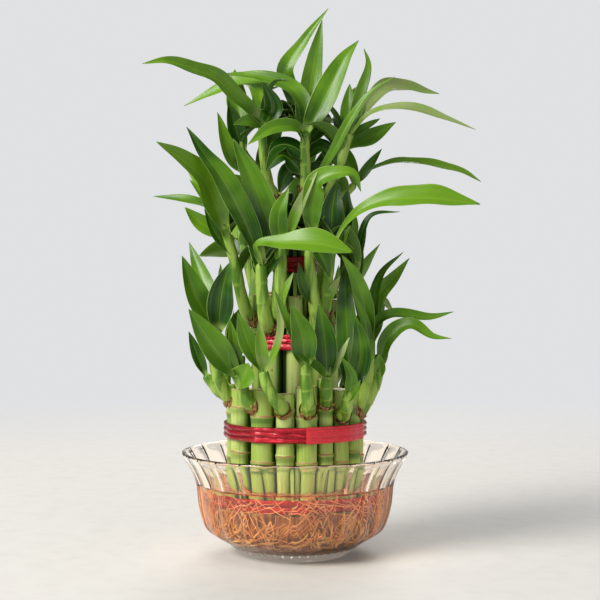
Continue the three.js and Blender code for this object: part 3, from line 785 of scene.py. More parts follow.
SHOOTS: list[Shoot] = [
    Shoot("shoot_middle_front", Tier.MIDDLE, 10, 127, [
        Stem(3.3, [[-15.4, -24, 130.5], [-18, -28, 149], [-18.5, -30, 164.5]]),
    ], [
        Leaf(14, [
            [-18.5, -31, 162], [-20, -37, 173.6], [-5, -46, 174.4], [13, -52, 173.6], [31, -54, 169],
        ], Tone.BRIGHT, widest=0.68),
        Leaf(12.5, [
            [-18.5, -30, 163], [-27, -34, 186], [-39.5, -36, 210], [-50, -34, 224], [-59, -30, 238],
        ], Tone.DARK),
        Leaf(14, [
            [-17.5, -29, 163], [-12.6, -26, 174], [-20, -28, 201], [-34, -24, 232.6],
        ], Tone.DARK),
        Leaf(11, [[-17.5, -27, 163], [-24, -12, 184], [-30, -4, 206]], Tone.DARK),
    ]),
    Shoot("shoot_middle_right", Tier.MIDDLE, 2, 133, [
        Stem(2.8, [[16, -20, 138], [17.7, -22, 152], [19.8, -23, 168.5], [22.5, -24, 177]]),
    ], [
        Leaf(14, [
            [21.5, -25, 174], [27, -32, 184], [35.5, -39, 192.5],
            [48, -44, 197], [69, -50, 198], [98, -52, 194.5],
        ], Tone.BRIGHT, widest=0.7),
        Leaf(12, [[20.5, -23, 171], [20.6, -17, 193], [24, -14, 211]], Tone.DARK),
        Leaf(6, [[21, -22, 168], [31, -20, 185]], Tone.MID),
        Leaf(4.5, [[17, -21, 140], [20, -24, 148], [25, -26, 157]], Tone.PALE),
        Leaf(11, [[20, -21, 168], [26, -14, 186], [30, -10, 206]], Tone.DARK),
        Leaf(10, [[20, -20, 172], [14, -10, 190], [12, -6, 212]], Tone.DARK),
    ]),
    Shoot("shoot_middle_left", Tier.MIDDLE, 9, 130, [
        Stem(2.8, [[-26, -12, 135], [-30.5, -15, 149], [-33, -18, 163], [-37, -20, 177], [-40, -22, 187]]),
    ], [
        Leaf(15.5, [[-38, -21, 180], [-49.5, -33, 209], [-73.5, -48, 228]], Tone.BRIGHT, widest=0.5),
        Leaf(7, [
            [-38, -22, 180], [-45.5, -19, 193.5], [-57, -15, 198.5], [-80, -6, 202],
        ], Tone.MID, roll=12),
        Leaf(9, [[-38, -19, 178], [-53, -18, 187], [-61, -20, 195]], Tone.BRIGHT),
        Leaf(6, [[-35, -20, 168], [-44, -22, 181], [-50, -22, 194]], Tone.DARK),
        Leaf(6, [[-40, -21, 185], [-50, -15, 200], [-59, -12, 211]], Tone.BRIGHT),
    ]),
    Shoot("shoot_outer_left", Tier.OUTER, 1, 83, [
        Stem(2.6, [[-37, -12.5, 88.5], [-42.5, -12, 92], [-46.4, -12, 96.5], [-50.4, -12, 102]]),
        Stem(3, [
            [-36.5, -13.5, 89.5], [-40.7, -16, 96], [-44.4, -18, 107.6], [-45, -18, 118.7], [-43, -19, 129],
        ]),
    ], [
        Leaf(6, [[-50, -12, 101], [-54, -12, 111], [-59.6, -11, 126]], Tone.DARK),
        Leaf(12.5, [[-44, -19, 126], [-55, -21, 146.5], [-62.4, -20, 168]], Tone.MID),
        Leaf(10, [[-44, -18, 126], [-51.5, -2, 153], [-61, 10, 176.5]], Tone.MID),
        Leaf(13, [[-42.5, -20, 127], [-40, -26, 148], [-36, -27, 164]], Tone.DARK),
        Leaf(6, [[-43.5, -18, 126], [-42, -8, 150], [-42, -6, 164]], Tone.MID),
    ]),
    Shoot("shoot_outer_front_left", Tier.OUTER, 2, 82, [
        Stem(3, [[-25.5, -32, 88.5], [-28, -33, 95], [-32, -34, 104]]),
    ], [
        Leaf(14, [[-32, -35, 102], [-44.6, -40, 120], [-57, -42, 139]], Tone.MID),
        Leaf(6.5, [[-31.5, -34, 103], [-33, -36, 120], [-35, -36, 133]], Tone.MID),
        Leaf(13, [[-30, -34.5, 96], [-27, -39, 103], [-24.7, -41, 110]], Tone.BRIGHT, widest=0.55),
    ]),
    Shoot("shoot_outer_front", Tier.OUTER, 3, 81, [
        Stem(3, [[-7.8, -40.5, 86.5], [-12, -43, 92.5], [-15, -44, 98.5], [-17, -44, 106.6]]),
    ], [
        Leaf(10, [[-17, -44, 105], [-24.6, -43, 120], [-30.5, -42, 137]], Tone.MID),
        Leaf(6, [[-16.5, -44.5, 105], [-18, -48, 120], [-19, -48, 134]], Tone.PALE),
        Leaf(4, [
            [-16, -45, 104], [-10.6, -49, 116], [-7.4, -50, 128], [-8.5, -49, 140], [-11.4, -48, 149],
        ], Tone.PALE),
    ]),
    Shoot("shoot_outer_centre", Tier.OUTER, 4, 81, [
        Stem(3.2, [[7.5, -41.5, 87], [6.4, -44.5, 98.6], [5.9, -46, 111]]),
    ], [
        Leaf(12.5, [[5.7, -47, 109], [3.7, -51, 125.5], [-2, -52, 141]], Tone.MID),
        Leaf(4.5, [[4.8, -46, 109], [-3.7, -50, 132], [-11, -50, 150]], Tone.MID),
        Leaf(4, [[7, -46, 109], [10, -48, 125]], Tone.PALE),
    ]),
    Shoot("shoot_outer_right_inside", Tier.OUTER, 5, 85, [
        Stem(2.8, [[17.3, -36, 91], [16.8, -38, 97.5], [17.8, -39, 104]]),
    ], [
        Leaf(11, [[17.5, -39, 102], [16, -41, 122.5], [13, -40, 142]], Tone.DARK),
        Leaf(7, [[17.5, -40, 102], [9.6, -48, 109], [1, -53, 115]], Tone.MID),
        Leaf(4, [[18.5, -40, 102], [24.7, -41, 114], [29.6, -40, 124]], Tone.PALE),
    ]),
    Shoot("shoot_outer_front_right", Tier.OUTER, 6, 77.5, [
        Stem(3, [[27.6, -31.6, 83.5], [28.8, -35, 90], [29.7, -36, 95.5]]),
    ], [
        Leaf(11, [[29.4, -34.6, 93], [29.2, -25, 118], [28, -20, 142], [28, -16, 165]], Tone.DARK),
        Leaf(6, [[29.2, -36.8, 91], [30, -41.4, 103], [25, -43, 113.4]], Tone.MID),
        Leaf(5, [[29.2, -35.6, 88.5], [32.6, -39.8, 94.6], [35.2, -43, 101]], Tone.MID),
        Leaf(10.5, [[29.9, -36.4, 93.6], [35.7, -36, 114], [33, -35, 135]], Tone.DARK),
    ]),
    Shoot("shoot_outer_right", Tier.OUTER, 7, 77, [
        Stem(3, [[38, -9.5, 83], [42, -9, 89.5], [45.5, -9, 97], [48, -9, 107]]),
        Stem(2.8, [[38, -12, 89], [41, -14, 102], [42, -15, 116], [42.3, -15, 122.5]]),
    ], [
        Leaf(8, [
            [47.8, -9, 106], [50.5, -14, 120], [57.5, -17, 128],
            [65, -20, 130], [75.5, -23, 123.5], [86, -25, 122.5],
        ], Tone.MID),
        Leaf(7, [[46.5, -10, 100], [47, -14, 114]], Tone.BRIGHT),
        Leaf(9, [[42, -16, 120], [39, -18, 138], [34, -20, 155], [25.6, -22, 169]], Tone.MID),
        Leaf(5, [[42, -16, 118], [37.5, -22, 134], [32, -24, 148]], Tone.MID),
        Leaf(9.5, [[42.2, -14, 121], [45.5, 0, 143.5], [56, 7, 155], [66, 12, 167.5]], Tone.MID),
        Leaf(6, [[42.3, -14, 120], [48.5, 3, 156.5], [62, 4, 171]], Tone.DARK),
        Leaf(9, [[42.3, -14, 119], [49, 6, 143], [57, 8, 136]], Tone.PALE),
        Leaf(6.5, [
            [42.5, -14, 120], [46, -12, 131], [54, -12, 135.5], [75.5, -12, 134], [89, -12, 137],
        ], Tone.MID),
    ]),
    Shoot("shoot_middle_centre_left", Tier.MIDDLE, 1, 132, [
        Stem(3.6, [[-7.9, -25, 136], [-8.2, -28, 155], [-7.9, -28, 174]]),
    ], [
        Leaf(9, [[-7.6, -29, 172], [-8.7, -31, 190], [-3.3, -31, 205]], Tone.MID),
        Leaf(5.5, [[-6.8, -28, 171], [1, -31, 192], [13, -33, 215.5]], Tone.PALE),
        Leaf(5, [[-7.5, -26, 137], [-6, -31, 146.5], [-0.7, -32, 159]], Tone.PALE),
        Leaf(8, [[-7, -27, 173], [-11.5, -29, 167], [-16, -29, 156]], Tone.DARK),
        Leaf(10, [[-7.5, -26, 168], [-2, -16, 186], [2, -10, 204]], Tone.DARK),
    ]),
    Shoot("shoot_middle_centre_right", Tier.MIDDLE, 2, 120, [
        Stem(3.0, [[11, -25, 139], [9.0, -26, 155], [8, -28, 164.6], [9.3, -29, 179]]),
    ], [
        Leaf(10.5, [
            [9.3, -29, 177], [9.8, -31, 198], [12.5, -33, 208],
            [21.6, -36, 212], [31, -37, 212], [35.6, -37, 202.5],
        ], Tone.MID),
        Leaf(5.5, [[10.5, -25, 140], [5, -31, 149], [2, -33, 164.5]], Tone.DARK),
        Leaf(8, [[9, -27, 175], [14, -29, 168], [19, -29, 156]], Tone.DARK),
    ]),
    Shoot("shoot_middle_far_right", Tier.MIDDLE, 3, 132, [
        Stem(2.6, [[25, -7, 137], [32.6, -10, 152], [34, -10, 165]]),
    ], [
        Leaf(5, [[34, -10, 163], [40, -8, 188.5]], Tone.MID),
        Leaf(6, [[32, -9.5, 150], [38, -10, 174]], Tone.MID),
        Leaf(4, [[34, -10, 164], [42, -12, 190], [59, -12, 193]], Tone.DARK),
    ]),
    Shoot("shoot_inner_centre", Tier.INNER, 2, 202, [
        Stem(2.7, [[6.2, -12, 206], [5.6, -13, 222], [5.6, -12, 238.7]]),
    ], [
        Leaf(12.5, [
            [6, -12, 236], [11, -14, 245], [21, -15, 265], [28.5, -14, 279], [35.5, -12, 288.5],
        ], Tone.MID),
        Leaf(9.5, [
            [5.5, -11, 236], [5, -7, 253], [-3, -3, 264], [-19, 2, 270], [-32, 6, 272], [-45, 10, 273],
        ], Tone.MID),
        Leaf(8.5, [[5, -13, 236], [-2, -22, 239], [-12.6, -29, 237], [-25.5, -34, 228]], Tone.MID),
        Leaf(10.5, [[5.6, -11, 236], [8, 0, 260], [11, 2, 280], [15.4, 3, 303]], Tone.MID),
        Leaf(9, [
            [5, -11, 237], [-2, 6, 261], [-6, 8, 274], [4.6, 8, 291], [19, 8, 310.6],
        ], Tone.MID),
        Leaf(8, [[5.8, -11, 235], [12, 4, 256], [17, 12, 275]], Tone.DARK),
        Leaf(12, [[5.4, -12, 221], [-5.6, -12, 230], [-15, -15, 222]], Tone.DARK),
        Leaf(12, [[5.6, -12.5, 213], [-7, -16, 224], [-16, -20, 215]], Tone.DARK),
        Leaf(5, [
            [6.5, -13, 207], [12, -18, 211], [20.5, -27, 224],
            [30.5, -33, 242], [41, -36, 256], [54, -36, 264.5],
        ], Tone.MID),
        Leaf(11, [[5.6, -11, 237], [8, 10, 262], [10, 28, 274], [10, 44, 278]], Tone.MID),
        Leaf(10, [[6.2, -11, 221], [14, -8, 229], [25, -7, 218]], Tone.DARK),
        Leaf(9, [[6, -11, 229], [16, -7, 240], [25, -5, 228]], Tone.DARK),
        Leaf(10, [[6.3, -11, 212], [13, -5, 216], [23, -2, 202]], Tone.DARK),
        Leaf(9, [[6, -10, 214], [-2.8, -9, 216], [-9, -9, 203]], Tone.DARK),
        Leaf(11, [[6, -9, 207], [4, 2, 216], [-2, 9, 233]], Tone.DARK),
        Leaf(11, [[6.5, -9, 205], [14, 6, 216], [20, 10, 234]], Tone.DARK),
    ]),
    Shoot("shoot_inner_left", Tier.INNER, 1, 197, [
        Stem(2.5, [[-12.5, -8, 203], [-16.3, -9, 216], [-18, -10, 230.5], [-18.4, -11, 243]]),
    ], [
        Leaf(11, [
            [-18.5, -11, 241], [-31, -18, 254], [-42, -25, 264],
            [-55, -32, 269], [-69, -39, 272], [-81.5, -44, 270],
        ], Tone.MID),
        Leaf(10.5, [[-17.5, -11.5, 240], [-12.7, -20, 250], [-17.6, -24, 263]], Tone.DARK),
        Leaf(6.5, [[-18.5, -12, 240], [-25, -18, 242.5], [-34, -24, 240]], Tone.MID),
        Leaf(5, [[-18.2, -10, 241], [-24, -2, 259.5]], Tone.MID),
        Leaf(11, [
            [-18.4, -10, 240], [-21.5, 8, 265.5], [-33.5, 18, 269.5], [-50.5, 26, 264], [-66, 32, 258],
        ], Tone.BRIGHT),
    ]),
    Shoot("shoot_inner_right", Tier.INNER, 3, 192, [
        Stem(2.6, [[12, -3, 197], [20, -4, 208], [27, -5, 225.6], [31, -4, 238.6]]),
        Stem(2.3, [[12, -3, 197], [20, 2, 201], [28, 4, 204], [34.7, 4, 210]]),
    ], [
        Leaf(6, [[31, -4, 237], [37, -2, 260], [41.5, 0, 277], [39, 0, 286.5]], Tone.MID),
        Leaf(9, [
            [31, -3.5, 236], [42, 8, 256], [52.5, 18, 267], [64.5, 27, 269], [76.5, 33, 267], [86, 37, 266],
        ], Tone.PALE, widest=0.6),
        Leaf(7, [
            [31, -5, 236], [42, -13, 247.5], [54, -19, 250],
            [68.5, -24, 248], [83, -28, 242.5], [98.5, -30, 236.5],
        ], Tone.PALE, widest=0.55),
        Leaf(5, [[31, -3, 236], [48.6, 4, 247]], Tone.MID),
        Leaf(9.5, [[28, -4, 228], [41.6, 2, 235], [57.6, 5, 245]], Tone.MID),
        Leaf(9, [[31, -3, 237], [31, 7, 254], [31.5, 12, 268]], Tone.MID),
        Leaf(5, [[34, 4, 209], [49.7, 6, 230]], Tone.MID),
        Leaf(7, [
            [34, 3.5, 208], [42, 9, 217.5], [52, 14, 222], [62, 18, 224],
            [81, 24, 222.5], [98, 28, 219], [110, 30, 213],
        ], Tone.BRIGHT, widest=0.64),
        Leaf(10, [[31, -3, 237], [36, 14, 260], [42, 32, 272]], Tone.MID),
    ]),
    Shoot("shoot_inner_back", Tier.INNER, 4, 192, [
        Stem(2.6, [[-8, 11, 199], [-20, 10, 215], [-30.5, 8, 230], [-30, 8, 242]]),
    ], [
        Leaf(9, [[-30, 7, 228], [-38, 0, 257]], Tone.DARK),
        Leaf(9.5, [[-20, 9, 214], [-34, -6, 220], [-43.6, -8, 249]], Tone.BRIGHT),
        Leaf(11, [[-30, 8, 240], [-34, 20, 262], [-36, 34, 280]], Tone.MID),
        Leaf(12, [[-30, 9, 236], [-30, 26, 250], [-24, 44, 256], [-20, 62, 252]], Tone.MID),
        Leaf(10, [[-22, 10.5, 218], [-14, 24, 236], [-8, 34, 262]], Tone.MID),
    ]),
]


def back_shoots() -> list[Shoot]:
    """Returns the shoots at the back, which repeat ones from the front on the canes there."""
    named = {shoot.name: shoot for shoot in SHOOTS}
    return [
        named["shoot_outer_right_inside"].repeated("shoot_outer_back_right", 9, 86.2),
        named["shoot_outer_left"].repeated("shoot_outer_back", 11, 224.4),
        named["shoot_outer_front_left"].repeated("shoot_outer_back_left", 13, 238.6),
        named["shoot_outer_front"].repeated("shoot_outer_far_left", 15, 260.8),
        named["shoot_middle_right"].repeated("shoot_middle_back_right", 5, 108),
        named["shoot_middle_left"].repeated("shoot_middle_back_left", 7, -72),
        named["shoot_outer_centre"].repeated("shoot_outer_extra_right", 10, 127.8, True),
        named["shoot_outer_front_right"].repeated("shoot_outer_extra_back", 12, 136, True),
        named["shoot_outer_centre"].repeated("shoot_outer_extra_left", 14, 218.2, True),
        named["shoot_middle_centre_left"].repeated("shoot_middle_extra_right", 4, 108, True),
        named["shoot_middle_front"].repeated("shoot_middle_extra_back", 6, 216, True),
        named["shoot_middle_centre_right"].repeated("shoot_middle_extra_left", 8, 216, True),
    ]


@dataclass(frozen=True)
class Cane:
    """A cane: its node, tier, number, angle round the plant, radius, top and the heights of its rings."""

    name: str
    tier: Tier
    number: int
    angle: float
    radius: float
    top: float
    rings: tuple[float, ...]

    def axis(self, height: float) -> Vector:
        """Returns the point on the cane's axis at a height."""
        return around(self.angle, self.tier.value, height)


@dataclass
class CaneBundle:
    """The canes of all three tiers.

    The outer canes at the front and the inner ones are listed, by their angle, radius and top.
    """

    foot: float = 12.0
    steps: int = 32
    rise: float = 1.7
    ring_half: float = 1.5
    ring_bulge: float = 0.5
    band_below: float = 6.5
    rim: float = 0.5
    # Painted shade on the sides of a cane that face away from the outside: where it starts on an outer cane
    # and on an inner one, and how far it fades in.
    painted_shade_from: float = 0.5
    painted_shade_from_inside: float = 0.85
    painted_shade_fade: float = 0.75
    outer_front: Sequence[tuple[float, float, float]] = (
        (-63, 6.3, 94), (-32, 6.5, 95), (-9, 5.1, 93), (11, 5.8, 97),
        (30, 4.3, 101), (48, 5.1, 94.5), (71, 5.3, 92),
    )
    outer_back: int = 9
    outer_step: float = 22.6
    outer_back_radius: float = 5.7
    outer_back_top: float = 94
    outer_rings: tuple[float, float] = (57, 82)
    outer_stagger: float = 2
    middle: int = 10
    middle_radius: float = 5.2
    middle_top: float = 146
    middle_ring: float = 131
    inner: Sequence[tuple[float, float, float]] = (
        (-45, 4.9, 204), (45, 4.9, 208), (135, 4.7, 199), (225, 4.9, 197),
    )
    inner_ring: float = 183
    canes: list[Cane] = field(default_factory=list, init=False)

    def __post_init__(self) -> None:
        """Works out where every cane stands."""
        front = len(self.outer_front)
        for i in range(front + self.outer_back):
            if i < front:
                angle, radius, top = self.outer_front[i]
            else:
                angle = self.outer_front[-1][0] + self.outer_step * (i - front + 1)
                radius = self.outer_back_radius + 0.4 * math.sin(i * 2.1)
                top = self.outer_back_top + 3 * math.sin(i * 1.3)
            stagger = -self.outer_stagger if i % 2 else self.outer_stagger
            rings = tuple(height + stagger for height in self.outer_rings)
            self._add(Tier.OUTER, i + 1, (angle, radius, top), rings)
        for i in range(self.middle):
            angle = 360 / self.middle * i
            top = self.middle_top + 2 * math.sin(i * 2.4)
            ring = self.middle_ring + 2 * math.sin(i * 1.7)
            self._add(Tier.MIDDLE, i + 1, (angle, self.middle_radius, top), (ring,))
        for i, measures in enumerate(self.inner):
            self._add(Tier.INNER, i + 1, measures, (self.inner_ring + 2 * math.sin(i * 2),))

    def _add(self, tier: Tier, number: int, measures: Point, rings: tuple[float, ...]) -> None:
        """Adds one cane. Its measures are its angle round the plant, its radius and its top."""
        name = f"cane_{tier.name.lower()}_{number:02d}"
        self.canes.append(Cane(name, tier, number, *measures, rings))

    def of(self, tier: Tier) -> list[Cane]:
        """Returns the canes of one tier."""
        return [cane for cane in self.canes if cane.tier is tier]

    def host(self, shoot: Shoot) -> Cane:
        """Returns the cane that a shoot grows from."""
        return next(cane for cane in self.of(shoot.tier) if cane.number == shoot.number)

    def _profile(self, cane: Cane) -> Profile:
        """Returns the outline of a cane from its foot up, with its rings and its rounded, dished cut top."""
        outline: Profile = [(0.0, self.foot), (cane.radius - 0.5, self.foot), (cane.radius, self.foot + 0.6)]
        height = self.foot + self.rise
        while height < cane.top - self.rim:
            swell = max(self._ring(height, ring) for ring in cane.rings)
            outline.append((cane.radius + self.ring_bulge * swell, height))
            near = any(abs(height - ring) < 3 * self.ring_half for ring in cane.rings)
            height += self.rise * (0.25 if near else 1.0)
        outline += [
            (cane.radius, cane.top - self.rim),
            (cane.radius - 0.12, cane.top - 0.15),
            (cane.radius - self.rim, cane.top),
            (cane.radius - 1.4, cane.top - 0.25),
            (cane.radius * 0.4, cane.top - 0.7),
            (0.0, cane.top - 0.8),
        ]
        return outline

    def _ring(self, height: float, ring: float) -> float:
        """Returns how far a node swells at a height: a broad swelling, a narrow lip and a groove above."""
        lip = bell(height, ring + 0.3, 0.8)
        swelling = 0.7 * bell(height, ring - 0.6, 2.6)
        groove = 0.9 * bell(height, ring + 1.0, 0.5)
        return lip * 0.7 + swelling - groove

    def _band(self, height: float, ring: float) -> float:
        """Returns how dark the band under a node is at a height. It fades away downwards."""
        return ease((ring - height) / 0.9) * ease((height - ring + self.band_below) / (self.band_below * 0.7))

    def _marks(self, cane: Cane, place: Vector, seed: float) -> Marks:
        """Returns the marks of a cane's finish at a place on it."""
        out = place.xy.length
        turn = math.atan2(place.y, place.x)
        tilt = 0.5 * math.sin(turn + seed * 9) + 0.3 * ripple((turn * 1.5, seed * 40, 0.0))
        ring = max(bell(place.z + tilt * 0.8, level + 0.2, 0.95) for level in cane.rings)
        deep = max(self._band(place.z, level) for level in cane.rings)
        top = 1.0 if place.z > cane.top - 0.3 and out < cane.radius - 0.3 else 0.0
        rim = 0.75 * bell(place.z, cane.top - 0.3, 0.7) if out > cane.radius - 1.0 else 0.0
        # between is painted shade on the side of a cane that faces away from the outside, towards its
        # neighbours. The inner tiers get more of it.
        outward = around(cane.angle, 1.0, 0.0)
        facing = place.dot(outward) / cane.radius
        start = self.painted_shade_from if cane.tier is Tier.OUTER else self.painted_shade_from_inside
        between = ease((start - facing) / self.painted_shade_fade)
        return max(ring, rim), max(0.7 * deep * (0.35 + 0.65 * seed), between), top, seed

    def _grow(self, cane: Cane, index: int, material: bpy.types.Material) -> None:
        """Makes one cane: slightly oval, never quite round, and cut off at a slight slant.

        Args:
            cane: The cane.
            index: Its number among all the canes.
            material: Its finish.
        """
        seed = spread(index * GOLDEN_PART + 0.2)
        shape = Shape(cane.name + "_grown")
        shape.turned(self._profile(cane), self.steps, lambda place: self._marks(cane, place, seed))
        centre = cane.axis(0.0)
        oval = 0.022 * math.sin(index * 3.1)

        def grown(place: Vector) -> Vector:
            """Returns where a place on the straight round cane lies on the grown one."""
            turn = math.atan2(place.y, place.x)
            wave = 1 + oval * math.cos(2 * turn) + 0.018 * ripple((turn * 0.9, place.z * 0.05, seed * 30))
            tip = max(0.0, place.z - cane.top + 2.0) / 2.0
            lift = 0.35 * tip * math.sin(turn + seed * 20) * min(1.0, place.xy.length / cane.radius)
            return Vector((centre.x + place.x * wave, centre.y + place.y * wave, place.z + lift))

        shape.push(grown)
        shape.finish(material, "cane", cane.name)

    def build(self, material: bpy.types.Material) -> None:
        """Makes every cane."""
        for index, cane in enumerate(self.canes):
            self._grow(cane, index, material)


def band_reach(canes: Sequence[Cane], direction: float) -> float:
    """Works out where a taut band round some canes runs.

    Args:
        canes: The canes that it holds.
        direction: Which way, in radians from the front.

    Returns:
        How far from the middle of the plant it is that way.
    """
    least = math.inf
    for i in range(BAND_DIRECTIONS):
        side = math.tau * i / BAND_DIRECTIONS
        facing = math.cos(side - direction)
        if facing < 0.5:
            continue
        reach = max(
            cane.tier.value * math.cos(side - math.radians(cane.angle)) + cane.radius for cane in canes
        )
        least = min(least, reach / facing)
    return least


@dataclass
class FoilTie:
    """A tie: foil ribbon wound round one tier as a few creased strands.

    OUTSIDE and INSIDE are the parts of its section that run up its outer side and down its inner side.
    """

    OUTSIDE = 0.7
    INSIDE = 0.3

    name: str
    canes: Sequence[Cane]
    low: float
    high: float
    strands: int
    seed: float
    slack: float = 0.75
    thick: float = 1.2
    steps: int = 300
    section: int = 40

    def _reaches(self) -> list[float]:
        """Returns how far out the inner side of the band runs, for each step round it."""
        turns = [math.tau * i / self.steps for i in range(self.steps)]
        return [band_reach(self.canes, turn) + self.slack for turn in turns]

    def build(self, material: bpy.types.Material) -> None:
        """Makes the band: strands with creases, whose gaps wander up and down as they go round."""
        reaches = self._reaches()
        height = self.high - self.low
        shape = Shape(self.name + "_wound")

        def lay(section: float, along: float) -> tuple[Vector, Marks]:
            """Lays the band's section round the tier."""
            step = round(along * self.steps) % self.steps
            turn = math.tau * step / self.steps
            ring = Vector((math.cos(turn), math.sin(turn), self.seed))
            wander = 0.10 * ripple(ring * 2.2)
            outside = section < self.OUTSIDE
            part = section / self.OUTSIDE if outside else 1 - (section - self.OUTSIDE) / self.INSIDE
            level = part * self.strands + wander * self.strands * math.sin(math.pi * part)
            hollow = abs(math.sin(math.pi * level)) ** 0.5 if outside else 1.0
            crease = 0.3 * ripple((ring.x * 8, ring.y * 8, level * 1.7 + self.seed))
            crease += 0.12 * ripple((ring.x * 30, ring.y * 30, level * 3 + self.seed))
            out = self.thick * (0.25 + 0.75 * hollow) + crease if outside else 0.0
            rise = 0.35 * ripple(ring * 1.6 + Vector((0, 0, 5 * round(part))))
            z = self.low + height * part + rise * abs(2 * part - 1)
            radius = reaches[step] + out
            # gap is painted shade: in the hollows between the strands, and all over the inner side that faces
            # the canes.
            gap = (1.0 - ease(hollow * 1.5)) if outside else 1.0
            return around(math.degrees(turn), radius, z), (gap, self.seed, 0.0, 1.0)

        shape.sheet(self.section, self.steps, lay)
        shape.finish(material, "foil", self.name)


@dataclass
class FlatEnd:
    """The loose end of the lower ribbon: it lies flat over the strands, with thin creases along it."""

    tie: FoilTie
    start: float = 8.5
    stop: float = 74.0
    thick: float = 0.35
    steps: int = 90
    section: int = 40
    creases: Sequence[float] = (0.18, 0.36, 0.52, 0.68, 0.84)

    def build(self, material: bpy.types.Material) -> None:
        """Makes the flat end over the front right of the lower tie."""
        shape = Shape("tie_lower_end")
        low, high = self.tie.low - 0.1, self.tie.high + 0.3
        angles = [lerp(self.start, self.stop, i / self.steps) for i in range(self.steps + 1)]
        lift = self.tie.slack + self.tie.thick + 0.15
        reaches = [band_reach(self.tie.canes, math.radians(angle)) + lift for angle in angles]

        def lay(section: float, along: float) -> tuple[Vector, Marks]:
            """Lays the flat section along the outline, cut square at its start and tucked in at its end."""
            step = round(along * self.steps)
            angle, reach = angles[step], reaches[step]
            part = 2 * section if section < 0.5 else 2 - 2 * section
            groove = sum(bell(part, crease, 0.02) for crease in self.creases)
            out = self.thick - 0.12 * groove if section < 0.5 else -0.2
            tuck = ease((along - 0.93) / 0.07)
            narrow = lerp(1.0, 0.55, tuck)
            z = lerp(low, high, 0.5 + (part - 0.5) * narrow)
            place = around(angle, reach + out - 0.9 * tuck, z)
            # Its first mark is painted shade in the grooves of its creases. Its third, 0.8, marks it as the
            # flat end, with its painted sheen.
            return place, (0.6 * min(1.0, groove) if section < 0.5 else 0.0, 0.3, 0.8, 1.0)

        shape.sheet(self.section, self.steps, lay)
        bmesh.ops.holes_fill(shape.mesh, edges=[edge for edge in shape.mesh.edges if edge.is_boundary])
        shape.finish(material, "foil", "tie_lower")


